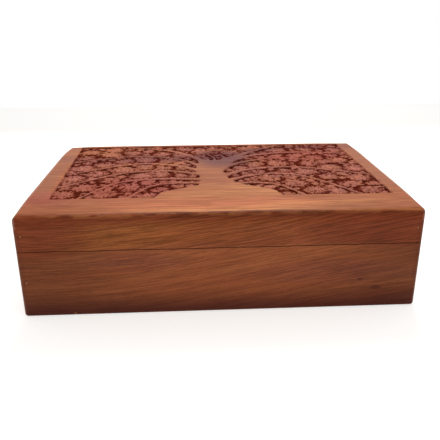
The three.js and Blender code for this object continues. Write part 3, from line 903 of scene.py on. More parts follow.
def carved_heights(across, along, carving):
    """The lid's upper surface below the box's top, over lines across and along it."""
    x, y = np.meshgrid(across, along)
    fine_chips = uneven(x, y, pitch=1.15, seed=3)
    wide_chips = uneven(x, y, pitch=3.4, seed=4)
    broad_chips = uneven(x, y, pitch=7.5, seed=9)
    punch_length = 1.7
    punched = smooth_step(0.6, 0.85, patchy(x, y / punch_length, pitch=1.2, seed=6))
    groove = inside_groove(x, y)

    # Leaves stand closer towards the right, and end in chipped outlines
    leaf_spread, closer_at_right = 0.62, 0.3
    wide_bite, fine_bite, broad_bite = 1.7, 0.9, 0.9
    dent, fine_swell, wide_swell = 0.4, 0.2, 0.3
    leaves, leaf_level = draw_leaves(across, along, carving.leaf_drop / MM)
    leaves = leaves + wide_bite * wide_chips + fine_bite * fine_chips + broad_bite * broad_chips
    leaves = leaves + leaf_spread + closer_at_right * smooth_step(-40, 20, x)
    leaf_level = leaf_level - dent * punched + fine_swell * fine_chips + wide_swell * wide_chips

    # The trunk and its branches run together, rounded at their sides; branches lie a little lower
    shoulder_drop, scratch_depth, plain_middle = 0.3, 0.12, 2.5
    branch_drop, branch_dent = 0.18, 0.3
    tree_bite, branch_spread, branch_bite = 0.4, 0.2, 1.4
    from_trunk = distance_from(trunk_outline(), x, y)
    tree, in_front = draw_tree(across, along, from_trunk)
    off_trunk = smooth_step(0, 5, from_trunk)
    tree_level = -shoulder_drop * (1 - smooth_step(0, 1.6, tree))
    tree_level = tree_level - scratch_depth * smooth_step(0.1, 0.5, fine_chips)
    tree_level = np.where(tree > plain_middle, 0, tree_level)
    tree_level = tree_level - (branch_drop + branch_dent * punched) * off_trunk
    branches = (branch_spread + branch_bite * wide_chips) * off_trunk
    tree = np.minimum(tree + tree_bite * fine_chips + branches, groove)

    # A shadow side is cut in front of each branch; leaves lap over the groove, more at the right
    shadow_broad, shadow_wide = 3.2, 1.8
    lap, lap_bite, lap_at_right = 0.6, 0.8, 0.9
    leaves = np.minimum(leaves, in_front + shadow_broad * broad_chips + shadow_wide * wide_chips)
    over_groove = groove + lap + lap_bite * wide_chips + lap_at_right * smooth_step(60, 108, x)
    leaves = np.minimum(leaves, over_groove)

    # What stands is kept, the rest is cut down to an uneven floor, and the border stays plain
    floor_waves, whole_tree = 0.5, 1.5
    standing = np.maximum(tree, leaves)
    level = np.where(tree > leaves, tree_level, leaf_level)
    floor = -carving.depth / MM + floor_waves * uneven(x, y, pitch=2.3, seed=5)
    cut = smooth_step(0.25, -0.6, standing)
    relief = level * (1 - cut) + np.minimum(floor, level) * cut
    wall = smooth_step(0, 0.5, np.minimum(groove + GROOVE_WIDTH, y - FIELD_FRONT))
    wall = np.where(tree > whole_tree, 1, wall)
    return np.where(wall > 0, np.minimum(relief * wall, 0), 0)


def board_lines(half, low, high, cell, ease):
    """Lines across the top board: close over its eased edges and its carved field."""
    steps = 8
    spacing, gap = 1.5, 0.5
    eased = [ease * (1 - math.cos(step / steps * math.pi / 2)) for step in range(steps + 1)]
    fine = np.linspace(low, high, round((high - low) / cell) + 1)
    start = np.array([-half + reach for reach in eased])
    end = np.array([half - reach for reach in reversed(eased)])
    before = np.arange(start[-1] + spacing, fine[0] - gap, spacing)
    after = np.arange(fine[-1] + spacing, end[0] - gap, spacing)
    return np.sort(np.concatenate((start, before, fine, after, end)))


def rounded_plan(x, y, corner):
    """The grid's places with its corners rounded, and how far each lies from the outside edge."""
    half_width, half_depth = HALF_WIDTH / MM, HALF_DEPTH / MM
    corner_x = np.clip((np.abs(x) - (half_width - corner)) / corner, 0, 1)
    corner_y = np.clip((np.abs(y) - (half_depth - corner)) / corner, 0, 1)
    round_x = corner_x * np.sqrt(1 - corner_y**2 / 2)
    round_y = corner_y * np.sqrt(1 - corner_x**2 / 2)
    rounded = (corner_x > 0) & (corner_y > 0)
    placed_x = np.where(rounded, np.sign(x) * (half_width - corner + corner * round_x), x)
    placed_y = np.where(rounded, np.sign(y) * (half_depth - corner + corner * round_y), y)
    to_edge = np.minimum(half_width - np.abs(x), half_depth - np.abs(y))
    to_edge = np.where(rounded, corner * (1 - np.hypot(round_x, round_y)), to_edge)
    return placed_x, placed_y, to_edge


def eased_edge(x, y, to_edge, boards):
    """How the upper edge falls away: rounder at the corners, and most at the two rear ones."""
    corner_reach, rear_reach = 22, 13
    waviness, wave_pitch = 0.35, 23
    from_corner = np.hypot(HALF_WIDTH / MM - np.abs(x), HALF_DEPTH / MM - np.abs(y))
    at_corners = boards.top_edge_at_corners / MM * np.exp(-(from_corner / corner_reach) ** 2)
    rear = boards.rear_corners / MM * smooth_step(0, 40, y) * smooth_step(150, -80, x)
    radius = boards.top_edge / MM + at_corners + rear * np.exp(-(from_corner / rear_reach) ** 2)
    radius = radius + waviness * uneven(x, y, wave_pitch, seed=8)
    share = np.clip(to_edge / radius, 0, 1)
    return -radius * (1 - np.sqrt(1 - (1 - share) ** 2))


# Materials

MATERIALS = {}
WHITE = (1.0, 1.0, 1.0, 1.0)


class Value:
    """What one node puts out, to be worked with like a number."""

    def __init__(self, wires, socket):
        self.wires = wires
        self.socket = socket

    def __add__(self, other):
        return self.wires.calc("ADD", self, other)

    def __sub__(self, other):
        return self.wires.calc("SUBTRACT", self, other)

    def __rsub__(self, other):
        return self.wires.calc("SUBTRACT", other, self)

    def __mul__(self, other):
        return self.wires.calc("MULTIPLY", self, other)

    def __truediv__(self, other):
        return self.wires.calc("DIVIDE", self, other)

    def __abs__(self):
        return self.wires.calc("ABSOLUTE", self)

    def fraction(self):
        return self.wires.calc("FRACT", self)

    def within(self, middle, reach):
        """1 up to a reach on both sides of a middle, and 0 past it."""
        return self.wires.calc("COMPARE", self, middle, reach)

    def fade(self, low, high, to_low=0.0, to_high=1.0):
        """Runs smoothly from one number to another while the value runs from low to high."""
        inputs = {
            "Value": self, "From Min": low, "From Max": high, "To Min": to_low, "To Max": to_high,
        }
        return self.wires.take("MapRange", inputs, interpolation_type="SMOOTHSTEP")

    def scaled(self, scale):
        return self.wires.take("VectorMath", {0: self, 1: scale}, operation="MULTIPLY")

    def noise(self, scale, detail=2.0, roughness=0.5):
        """Clouds over a place, with about one cloud to each unit of the scaled place."""
        inputs = {
            "Vector": self.scaled(scale), "Scale": 1.0, "Detail": detail, "Roughness": roughness,
        }
        return self.wires.take("TexNoise", inputs)


class Wiring:
    """Adds nodes to one tree and links them."""

    def __init__(self, tree):
        self.tree = tree
        self.tree.nodes.clear()

    def feed(self, socket, value):
        if isinstance(value, Value):
            self.tree.links.new(value.socket, socket)
        else:
            socket.default_value = value

    def add(self, kind, inputs=None, **options):
        node = self.tree.nodes.new("ShaderNode" + kind)
        for name, value in options.items():
            setattr(node, name, value)
        for name, value in (inputs or {}).items():
            self.feed(node.inputs[name], value)
        return node

    def take(self, kind, inputs=None, output=0, **options):
        """Adds a node and takes one of its outputs."""
        return Value(self, self.add(kind, inputs, **options).outputs[output])

    def named(self, sockets):
        return {socket.name: Value(self, socket) for socket in sockets}

    def calc(self, operation, first, second=0.0, third=0.0):
        return self.take("Math", {0: first, 1: second, 2: third}, operation=operation)

    def parts(self, vector):
        return [Value(self, socket) for socket in self.add("SeparateXYZ", {0: vector}).outputs]

    def joined(self, x, y, z):
        return self.take("CombineXYZ", {0: x, 1: y, 2: z})

    def mix(self, share, first, second, blend_type="MIX"):
        """Mixes two colours. The node's colours are its inputs 6 and 7 and its output 2."""
        inputs = {0: share, 6: first, 7: second}
        options = {"data_type": "RGBA", "blend_type": blend_type, "clamp_factor": True}
        return self.take("Mix", inputs, output=2, **options)

    def use(self, group, inputs):
        return self.named(self.add("Group", inputs, node_tree=group).outputs)


def opaque(colour):
    """A colour with its fourth number, as sockets want it."""
    return (*colour, 1.0)


def most(first, *others):
    """The largest of several values."""
    for other in others:
        first = first.wires.calc("MAXIMUM", first, other)
    return first


def nearing(value, edge, start, end):
    """From 0 to 1 between two distances in mm from an outside face, on both sides of the box."""
    return abs(value).fade(edge / MM - start, edge / MM - end)


def patch(x, y, middle, reach):
    """A soft round patch, from its middle and its reach in mm."""
    off_x = (x - middle[0]) / reach[0]
    off_y = (y - middle[1]) / reach[1]
    return (off_x * off_x + off_y * off_y).fade(1.0, 0.0)


def shade_by(colour, value):
    """A colour made darker or brighter by a value."""
    wires = value.wires
    return wires.mix(1.0, colour, wires.joined(value, value, value), "MULTIPLY")


def tinted(colour, *layers):
    """A colour turned towards others in turn. A layer is a mask, a strength and a tint."""
    for mask, strength, tint in layers:
        colour = mask.wires.mix(mask * strength, colour, opaque(tint))
    return colour


def start_group(name, inputs, kind, outputs):
    """An empty shader group with inputs of one kind and numbers as outputs."""
    group = bpy.data.node_groups.new(name, "ShaderNodeTree")
    for socket in inputs:
        group.interface.new_socket(socket, in_out="INPUT", socket_type="NodeSocket" + kind)
    for socket in outputs:
        group.interface.new_socket(socket, in_out="OUTPUT", socket_type="NodeSocketFloat")
    wires = Wiring(group)
    given = wires.named(group.nodes.new("NodeGroupInput").outputs)
    result = group.nodes.new("NodeGroupOutput").inputs
    return group, wires, given, result


def grain_group():
    """Rosewood's figure. Along runs with the grain; Across and Depth lie over it, all in mm."""
    group, wires, given, result = start_group(
        "Rosewood Grain", ("Along", "Across", "Depth"), "Float",
        ("Bands", "Stripes", "Rings", "Lines", "Pores", "Relief"),
    )
    along, across, depth = given["Along"], given["Across"], given["Depth"]
    wander = 7
    drift = wires.joined(along, across, depth).noise((1 / 110, 1 / 42, 1 / 42), 1)
    bent = wires.joined(along, across + (drift - 0.5) * wander, depth)
    bands = bent.noise((1 / 150, 1 / 9, 1 / 24), 2, 0.5)
    stripes = bent.noise((1 / 70, 1 / 1.5, 1 / 7), 3, 0.6)
    growth = bent.noise((1 / 120, 1 / 6, 1 / 15), 1, 0.4)
    lines = bent.noise((1 / 26, 1 / 0.75, 1 / 2.6), 3, 0.7)
    pores = bent.noise((1 / 3.6, 1 / 0.34, 1 / 0.34), 1, 0.5)

    # Growth rings are the contours of a slow noise: thin dark lines, close where it is steep
    contours = 9
    off_line = abs((growth * contours).fraction() - 0.5)
    pitted = pores.fade(0.6, 0.72)
    wires.feed(result["Bands"], bands.fade(0.34, 0.66))
    wires.feed(result["Stripes"], stripes.fade(0.47, 0.66))
    wires.feed(result["Rings"], off_line.fade(0.3, 0.47))
    wires.feed(result["Lines"], lines.fade(0.36, 0.64))
    wires.feed(result["Pores"], pitted)
    wires.feed(result["Relief"], lines * 0.5 - pitted)
    return group


def end_grain_group():
    """The end of a board: curved growth rings and open pores. Place is in mm."""
    group, wires, given, result = start_group(
        "End Grain", ("Place",), "Vector", ("Rings", "Pores")
    )
    contours = 24
    growth = given["Place"].noise((0.02, 0.05, 0.09), 1, 0.4)
    pores = given["Place"].noise((0.5, 2.4, 2.4), 1, 0.5)
    wires.feed(result["Rings"], (growth * contours).fraction().fade(0.2, 0.95))
    wires.feed(result["Pores"], pores.fade(0.6, 0.7))
    return group


def wear_group():
    """Marks the box's outside edges, where handling has rubbed the finish. Place is in mm."""
    group, wires, given, result = start_group("Rubbed Edges", ("Place",), "Vector", ("Wear",))
    x, y, z = wires.parts(given["Place"])
    side = nearing(x, HALF_WIDTH, 3, 0.4)
    end = nearing(y, HALF_DEPTH, 3, 0.4)
    top = z.fade(BOX_HEIGHT / MM - 3, BOX_HEIGHT / MM - 0.3)
    foot = z.fade(2.2, 0.2)
    level = most(top, foot)
    edge = most(side * end, end * level, side * level)
    patches = given["Place"].noise((0.12, 0.12, 0.4), 3).fade(0.35, 0.65)
    wires.feed(result["Wear"], edge * patches)
    return group


def start_material(name, gloss):
    """A material with an empty Principled shader, and the place on the piece in mm."""
    material = bpy.data.materials.new(name)
    material.use_nodes = True
    wires = Wiring(material.node_tree)
    shader = wires.add("BsdfPrincipled")
    wires.add("OutputMaterial", {"Surface": Value(wires, shader.outputs[0])})
    wires.feed(shader.inputs["Specular IOR Level"], gloss)
    place = wires.take("TexCoord", output="Object").scaled((1 / MM, 1 / MM, 1 / MM))
    return material, wires, shader.inputs, place


def feed_shader(shader, colour, roughness, relief, strength, depth):
    """Feeds a shader's colour and roughness, and its normal by the bumps of a relief in mm."""
    wires = relief.wires
    bumps = {"Height": relief, "Strength": strength, "Distance": depth * MM}
    wires.feed(shader["Base Color"], colour)
    wires.feed(shader["Roughness"], roughness)
    wires.feed(shader["Normal"], wires.take("Bump", bumps))


def long_grain(wires, trees, x, y, z):
    """The grain of the boards that run along the box. Towards the right it climbs."""
    level_until = -70
    softness = 70
    slope = 0.17
    rise = wires.calc("SMOOTH_MAX", x - level_until, 0.0, softness) * slope
    return wires.use(trees["grain"], {"Along": x, "Across": z - rise, "Depth": y})


def short_grain(wires, trees, x, y, z):
    """The grain of the boards at the box's two ends."""
    slope = 0.07
    return wires.use(trees["grain"], {"Along": y, "Across": z - y * slope, "Depth": x})


def side_colour(wires, grain, x, z, finish):
    """The boards' colour, by places in mm: bands and streaks, redder on the lid, darker below."""
    colour = tinted(opaque(finish.side_wood), (1 - grain["Bands"], 0.36, finish.russet))
    level = z - x.fade(-125, 90, 0, 9)
    honey = level.fade(41, 46) * level.fade(61, 54) * x.fade(60, -70, 0.25, 0.9)
    colour = wires.mix(honey, colour, opaque(finish.honey))
    # Brighter at the middle and darker towards both ends: partly the wood, partly painted light that
    # falls off towards the ends
    colour = shade_by(colour, abs(x - 6).fade(122, 35, 0.68, 1.12))
    cool = most(patch(x, z, (-53, 36), (42, 8)), patch(x, z, (70, 26), (70, 11)))
    cool = cool * grain["Lines"].fade(0, 1, 1.0, 0.4)
    on_lid = z.fade(43.5, 47)
    # Under the top edge the front is painted redder and darker, as painted shade below the rounded
    # edge
    under_edge = z.fade(62.6, 65.2) * x.fade(-65, -20, 0.2, 1.0)
    colour = tinted(
        colour,
        (grain["Stripes"], 0.14, finish.plum),
        (grain["Rings"], 0.16, finish.plum),
        (cool, 0.4, finish.slate),
        (z.fade(59, 66), 0.8, finish.russet),
        (on_lid * x.fade(-70, 0), 0.4, finish.russet),
        (on_lid * x.fade(40, 105), 0.28, finish.plum),
        (under_edge, 0.85, finish.russet),
    )
    colour = shade_by(colour, under_edge.fade(0, 1, 1.0, 0.72))
    upper_ends = most(patch(x, z, (108, 56), (75, 17)), patch(x, z, (-125, 53), (56, 19)))
    near_foot = z.fade(19, 0.5)
    colour = tinted(
        colour, (upper_ends, 0.82, finish.russet), (near_foot, 0.9, finish.plum)
    )
    # The thin lines stand out more on the lid than on the base
    darkest = z.fade(43.5, 46, 0.83, 0.66)
    colour = shade_by(colour, grain["Lines"].fade(0, 1, darkest, 1.15))
    return tinted(colour, (grain["Pores"], 0.4, finish.plum))


def with_end_grain(wires, trees, place, x, colour, finish):
    """Lays a long board's ends, which drink more oil and turn darker, over its other colour."""
    grain = wires.use(trees["end"], {"Place": place})
    ends = wires.mix(grain["Rings"], opaque(finish.russet), opaque(finish.plum))
    ends = wires.mix(0.35, ends, opaque(finish.side_wood))
    ends = tinted(ends, (grain["Pores"], 0.6, finish.plum))
    return wires.mix(nearing(x, HALF_WIDTH, 1.6, 0.4), colour, ends)


def inside_mask(x, y):
    """1 on the faces inside the box, where the wood is only sanded."""
    margin = 0.3
    in_x = x.within(0.0, INNER_HALF_WIDTH / MM + margin)
    in_y = y.within(0.0, INNER_HALF_DEPTH / MM + margin)
    return in_x * in_y


def board_material(name, trees, long_board, finish):
    """The wood of the walls and rails, polished outside and only sanded inside."""
    material, wires, shader, place = start_material(name, gloss=0.09)
    x, y, z = wires.parts(place)
    grain_along = long_grain if long_board else short_grain
    grain = grain_along(wires, trees, x, y, z)
    colour = side_colour(wires, grain, x, z, finish)
    if long_board:
        colour = with_end_grain(wires, trees, place, x, colour, finish)
        # Two small knots at the right of the front, and a chip at the left of its foot
        knots = most(patch(x, z, (98, 14), (4.5, 2)), patch(x, z, (87.5, 20), (2.5, 1.2)))
        chip = patch(x, z, (-93, 1.3), (1.2, 0.9))
        on_front = y.fade(0, -10)
        colour = tinted(
            colour,
            (knots * on_front, 0.6, finish.plum),
            (chip * on_front, 0.7, finish.raw_wood),
        )
    # Painted shade: the rounded upright corners are darkened, as shade that rounds them off
    upright = nearing(x, HALF_WIDTH, 5, 0.5) * nearing(y, HALF_DEPTH, 3, 1)
    wear = wires.use(trees["wear"], {"Place": place})["Wear"]

    # Painted shade: the rim faces at the seam are painted dark, for the shade in the gap between lid
    # and base
    turned = abs(wires.parts(wires.take("NewGeometry", output="Normal"))[2])
    outermost = most(nearing(x, HALF_WIDTH, 2.2, 0.8), nearing(y, HALF_DEPTH, 2.2, 0.8))
    rim = turned.fade(0.3, 0.8) * (z.within(SEAM / MM, 1.6) * outermost)
    colour = tinted(
        colour,
        (upright, 0.45, finish.plum),
        (wear, 0.2, finish.honey),
        (rim, 0.9, finish.plum),
    )
    inside = inside_mask(x, y)
    raw = shade_by(opaque(finish.raw_wood), grain["Lines"].fade(0, 1, 0.85, 1.08))
    raw = tinted(raw, (grain["Stripes"], 0.4, finish.side_wood))
    colour = wires.mix(inside * 0.8, colour, raw)
    roughness = grain["Lines"].fade(0, 1, 0.48, 0.38) + inside * 0.25
    feed_shader(shader, colour, roughness, grain["Relief"], strength=0.35, depth=0.06)
    return material


def panel_material(trees, finish):
    """The bottom panel: plain sanded board, paler than the walls and never waxed."""
    material, wires, shader, place = start_material("Panel Wood", gloss=0.2)
    x, y, z = wires.parts(place)
    grain = wires.use(trees["grain"], {"Along": x, "Across": y, "Depth": z})
    colour = tinted(
        opaque(finish.raw_wood),
        (1 - grain["Bands"], 0.45, finish.side_wood),
        (grain["Stripes"], 0.25, finish.side_wood),
        (grain["Rings"], 0.22, finish.russet),
    )
    colour = shade_by(colour, grain["Lines"].fade(0, 1, 0.86, 1.08))
    colour = tinted(colour, (grain["Pores"], 0.35, finish.russet))
    roughness = grain["Lines"].fade(0, 1, 0.72, 0.62)
    feed_shader(shader, colour, roughness, grain["Relief"], strength=0.4, depth=0.08)
    return material


def plain_top(wires, grain, place, rounded_ends, finish):
    """The lid's polished wood: light at the middle of the front, brightened there by a painted sheen,
    and darker towards its ends.
    """
    x, y, _ = wires.parts(place)
    colour = wires.mix(grain["Bands"], opaque(finish.middle_wood), opaque(finish.light_wood))
    colour = wires.mix(abs(x - 5).fade(55, 140, 0, 0.7), colour, opaque(finish.middle_wood))
    front_ends = most(patch(x, y, (-112, -97), (85, 22)), patch(x, y, (106, -87), (75, 22)))
    colour = tinted(
        colour,
        (y.fade(-78, -82), 0.15, finish.light_wood),
        (front_ends, 0.9, finish.side_wood),
        (patch(x, y, (-128, -80), (100, 36)), 0.55, finish.side_wood),
        (x.fade(96, 118), 0.5, finish.middle_wood),
    )
    # Painted sheen: the middle of the front strip is brightened
    painted_sheen = patch(x, y, (-5, -71), (95, 17))
    colour = shade_by(colour, painted_sheen.fade(0, 1, 0.98, 1.24))
    colour = tinted(
        colour,
        (grain["Stripes"], 0.38, finish.side_wood),
        (grain["Rings"], 0.22, finish.side_wood),
    )
    colour = shade_by(colour, grain["Lines"].fade(0, 1, 0.8, 1.16))

    # The left of the front is redder and streaked; both ends are greyer, a painted reflection of the
    # white room
    left_front = most(patch(x, y, (-108, -87), (70, 12)), x.fade(-119, -125)) * y.fade(-40, -70)
    spots = place.noise((0.06, 0.16, 0.1), 3, 0.65).fade(0.42, 0.6)
    both_ends = abs(x).fade(112, 115, 0, 0.3) * y.fade(-70, -30)
    return tinted(
        colour,
        (grain["Pores"], 0.3, finish.russet),
        (patch(x, y, (-120, -36), (12, 32)), 0.45, finish.side_wood),
        (patch(x, y, (-116, -64), (34, 20)) * spots, 0.6, finish.russet),
        (x.fade(-60, -100) * y.fade(-70, -80), 0.4, finish.honey),
        (left_front, 0.1, finish.russet),
        (left_front * grain["Lines"].fade(0.6, 0.1), 0.85, finish.russet),
        (most(both_ends, rounded_ends * 0.6), 1.0, finish.grey_reflection),
    )


def field_mask(x, y):
    """1 over the carved field and 0 on the plain border."""
    margin = 0.1
    in_x = x.within(FIELD_MIDDLE, (FIELD_RIGHT - FIELD_LEFT) / 2 + margin)
    in_y = y.within((FIELD_FRONT + FIELD_REAR) / 2, (FIELD_REAR - FIELD_FRONT) / 2 + margin)
    return in_x * in_y


def with_carving_stain(wires, place, carved, colour, finish):
    """Stains what lies below the border: cloudy, palest on the highest leaves, and mottled."""
    x, y, z = wires.parts(place)
    top = BOX_HEIGHT / MM
    clouds = place.noise((0.035, 0.04, 0.04), 2, 0.6)
    rubbed_corner = patch(x, y, (-98, 78), (46, 34))
    stain = carved * clouds.fade(0.38, 0.62, 0.55, 0.95) * rubbed_corner.fade(0, 1, 1, 0.5)
    raised = stain * z.fade(top - 0.8, top - 0.5)
    colour = tinted(
        colour, (stain, 1.0, finish.carved_wood), (raised, 0.45, finish.raised_wood)
    )
    tone = place.noise((0.12, 0.12, 0.12), 3, 0.65).fade(0.35, 0.65, 0.8, 1.12)
    cuts = place.noise((0.75, 0.33, 0.5), 2, 0.7).fade(0.35, 0.65, 0.76, 1.24)
    mottle = tone * cuts
    mottle = wires.mix(carved, WHITE, wires.joined(mottle, mottle, mottle))
    colour = wires.mix(1.0, colour, mottle, "MULTIPLY")
    red = most(
        patch(x, y, (-64, -34), (46, 34)),
        patch(x, y, (70, 44), (50, 30)),
        patch(x, y, (-112, -54), (22, 18)),
    )
    return tinted(colour, (red, 0.5, finish.ruby))


def vein_mask(grain, x, y):
    """The grey violet vein that crosses the carving behind the trunk, and runs down the trunk."""
    course = x.fade(-10, 70, 37, 68) + grain["Bands"] * 9
    strength = x.fade(-110, 10, 0.3, 0.75) * x.fade(120, 80, 0.5, 1)
    streak = abs(y - course).fade(15, 2) * strength
    crotch = patch(x, y, (6, 40), (33, 39))
    trunk = most(patch(x, y, (0, 8), (36, 56)) * 0.2, patch(x, y, (2, 24), (30, 26)) * 0.4)
    return most(streak, crotch, trunk)


def edge_mask(wires, x, y, z):
    """1 on the outside faces of the top board, up to where its light upper side begins."""
    top = BOX_HEIGHT / MM
    rear = y.fade(HALF_DEPTH / MM - 3, HALF_DEPTH / MM - 1.5)
    around = most(nearing(x, HALF_WIDTH, 2.6, 1.2), rear)
    lower = z.fade(top - 0.22, top - 0.7) * around

    # Along the front the light wood ends in a wavy line, lower towards the right; below it the darker
    # side colour covers the rounded edge as painted shade
    unevenness = wires.joined(x, 7.0, 0.0).noise((0.045, 1, 1), 2, 0.6)
    line = z * 0.93 + y * 0.36 + x.fade(40, 112, -31.9, -29.7) + (unevenness - 0.5) * 1.2
    width = x.fade(-120, -50, 0.9, 0.22)
    worn = (line / width).fade(1, -1)
    return most(lower, worn * y.fade(-78, -81))


def with_underside(wires, grain, x, y, z, colour, finish):
    """Leaves the underside plain sanded wood, as the rest of the inside is."""
    below = z.fade(RAIL_TOP / MM + 0.6, RAIL_TOP / MM + 0.1) * inside_mask(x, y)
    raw = tinted(
        opaque(finish.raw_wood),
        (grain["Bands"], 0.4, finish.side_wood),
        (grain["Stripes"], 0.35, finish.side_wood),
    )
    raw = shade_by(raw, grain["Lines"].fade(0, 1, 0.86, 1.08))
    return wires.mix(below * 0.85, colour, raw)


def top_material(trees, finish):
    """The top board: plain polished wood, with a darker, redder finish where it is carved, and painted
    shade in its hollows.
    """
    material, wires, shader, place = start_material("Carved Top Wood", gloss=0.04)
    x, y, z = wires.parts(place)
    top = BOX_HEIGHT / MM
    across = (y + x * 0.012) * 0.6
    grain = wires.use(trees["grain"], {"Along": x, "Across": across, "Depth": z})
    rounded_ends = nearing(x, HALF_WIDTH, 3, 0.8)
    in_field = field_mask(x, y)
    carved = in_field * z.fade(top - 0.08, top - 0.5)
    # Below the leaves the hollows are painted dark: partly a darker stain, partly painted shade
    hollow = in_field * z.fade(top - 0.72, top - 1.18)
    colour = plain_top(wires, grain, place, rounded_ends, finish)
    colour = with_carving_stain(wires, place, carved, colour, finish)
    colour = tinted(
        colour,
        (vein_mask(grain, x, y), 0.95, finish.slate),
        (hollow, 0.93, finish.hollow_stain_and_shade),
    )

    # The edges of the board show the same wood as the rails under it; along the front this colour
    # reaches up the rounded edge as painted shade
    edge = side_colour(wires, long_grain(wires, trees, x, y, z), x, z, finish)
    edge = with_end_grain(wires, trees, place, x, edge, finish)
    colour = wires.mix((1 - in_field) * edge_mask(wires, x, y, z), colour, edge)
    colour = with_underside(wires, grain, x, y, z, colour, finish)
    wear = wires.use(trees["wear"], {"Place": place})["Wear"]
    colour = tinted(colour, (wear, 0.4, finish.light_wood))
    roughness = grain["Lines"].fade(0, 1, 0.5, 0.4) + carved * 0.15
    feed_shader(shader, colour, roughness, grain["Relief"], strength=0.35, depth=0.06)

    # The carving is not polished; the rounded ends catch the light
    gloss = rounded_ends * 0.45 + hollow.fade(0, 0.6, 0.04, 0.0)
    wires.feed(shader["Specular IOR Level"], gloss)
    return material


def metal_material(name, colour, roughness):
    """Worn metal, cloudy with tarnish and finely scratched."""
    material, wires, shader, place = start_material(name, gloss=0.5)
    cloudy = place.noise((0.5, 0.5, 0.5), 4, 0.6)
    scratches = place.noise((0.8, 9, 9), 2, 0.6)
    dull = [part * 0.55 for part in colour]
    tone = wires.mix(cloudy.fade(0.35, 0.7), opaque(colour), opaque(dull))
    rough = scratches.fade(0.3, 0.7, roughness - 0.08, roughness + 0.12)
    feed_shader(shader, tone, rough, scratches, strength=0.25, depth=0.03)
    wires.feed(shader["Metallic"], 1.0)
    return material


def finishes():
    """Every material of the box, made once."""
    made = MATERIALS
    if not made:
        finish = settings().finish
        trees = {"grain": grain_group(), "wear": wear_group(), "end": end_grain_group()}
        made["top"] = top_material(trees, finish)
        made["long"] = board_material("Long Board Wood", trees, True, finish)
        made["short"] = board_material("Short Board Wood", trees, False, finish)
        made["panel"] = panel_material(trees, finish)
        made["brass"] = metal_material("Hinge Brass", finish.brass, roughness=0.32)
        made["steel"] = metal_material("Nail Steel", finish.steel, roughness=0.5)
    return made


# The top board's surface

def add_surface(name, across, along):
    """A grid with one point at each crossing, and the column and row that each point is in."""
    deselect_all()
    bpy.ops.mesh.primitive_grid_add(
        x_subdivisions=len(across) - 1, y_subdivisions=len(along) - 1, size=1
    )
    piece = bpy.context.object
    piece.name = piece.data.name = name
    places = np.empty(len(piece.data.vertices) * 3, np.float32)
    piece.data.vertices.foreach_get("co", places)
    places = places.reshape(-1, 3)
    column = np.rint((places[:, 0] + 0.5) * (len(across) - 1)).astype(int)
    row = np.rint((places[:, 1] + 0.5) * (len(along) - 1)).astype(int)
    return piece, places, column, row


def thin_out(piece, triangles):
    """Leaves a surface about so many triangles, most of them where it bends."""
    bpy.ops.object.modifier_add(type="DECIMATE")
    modifier = piece.modifiers[-1]
    modifier.ratio = min(1.0, triangles / (2 * len(piece.data.polygons)))
    bpy.ops.object.modifier_apply(modifier=modifier.name)


def close_below(piece, bottom):
    """Drops a surface's rim down to a level and closes the underside."""
    start_editing(piece)
    bpy.ops.mesh.select_mode(type="EDGE")
    bpy.ops.mesh.select_all(action="DESELECT")
    bpy.ops.mesh.select_non_manifold()
    bpy.ops.mesh.extrude_edges_move()
    bpy.ops.transform.resize(value=(1, 1, 0), center_override=(0, 0, bottom))
    bpy.ops.mesh.edge_face_add()
    bpy.ops.mesh.select_all(action="SELECT")
    bpy.ops.mesh.normals_make_consistent(inside=False)
    stop_editing()


# The stage

def lay_floor(stage):
    """Lays a pale floor with an opening under the box, through which the underside shows."""
    inset = 2 * MM
    below_box = 0.05 * MM
    widen, deepen = 14, 16
    floor_middle = 0.694
    deselect_all()
    bpy.ops.mesh.primitive_plane_add(size=2)
    floor = bpy.context.object
    floor.name = floor.data.name = "floor"
    floor.scale = (HALF_WIDTH - inset, HALF_DEPTH - inset, 1)
    apply_place(floor)
    start_editing(floor)
    bpy.ops.mesh.select_mode(type="EDGE")
    bpy.ops.mesh.select_all(action="SELECT")
    bpy.ops.mesh.extrude_edges_move()
    bpy.ops.transform.resize(value=(widen, deepen, 1), center_override=(0, 0, 0))
    move = (0, floor_middle - deepen * (HALF_DEPTH - inset), -below_box)
    bpy.ops.transform.translate(value=move)
    bpy.ops.mesh.select_mode(type="FACE")
    bpy.ops.mesh.select_all(action="DESELECT")
    mesh = bmesh.from_edit_mesh(floor.data)
    box_area = 4 * HALF_WIDTH * HALF_DEPTH
    for face in mesh.faces:
        face.select_set(face.calc_area() < box_area)
    bmesh.update_edit_mesh(floor.data)
    bpy.ops.mesh.delete(type="FACE")
    stop_editing()
    floor.data.materials.append(floor_material(stage))
    return floor


def seen_by_eye(wires):
    """1 where a picture is looked at: straight on, in a reflection or through glass."""
    path = wires.named(wires.add("LightPath").outputs)
    return most(path["Is Camera Ray"], path["Is Glossy Ray"], path["Is Transmission Ray"])


def floor_material(stage):
    """A matt pale floor that looks brighter than it lights the box, and dimmer at the back."""
    dim = 0.66
    warm_white = (1.0, 0.985, 0.965)
    material = bpy.data.materials.new("Pale Floor")
    material.use_nodes = True
    wires = Wiring(material.node_tree)
    aside, back, _ = wires.parts(wires.take("TexCoord", output="Object"))
    far = back.fade(0.34, 0.5) * abs(aside).fade(0.75, 0.55)
    colour = wires.mix(far, opaque(stage.floor), opaque([part * dim for part in stage.floor]))
    diffuse = wires.take("BsdfDiffuse", {"Color": colour})
    strength = seen_by_eye(wires) * far.fade(0, 1, stage.glow, stage.glow * dim)
    glow = wires.take("Emission", {"Color": opaque(warm_white), "Strength": strength})
    wires.add("OutputMaterial", {"Surface": wires.take("AddShader", {0: diffuse, 1: glow})})
    return material


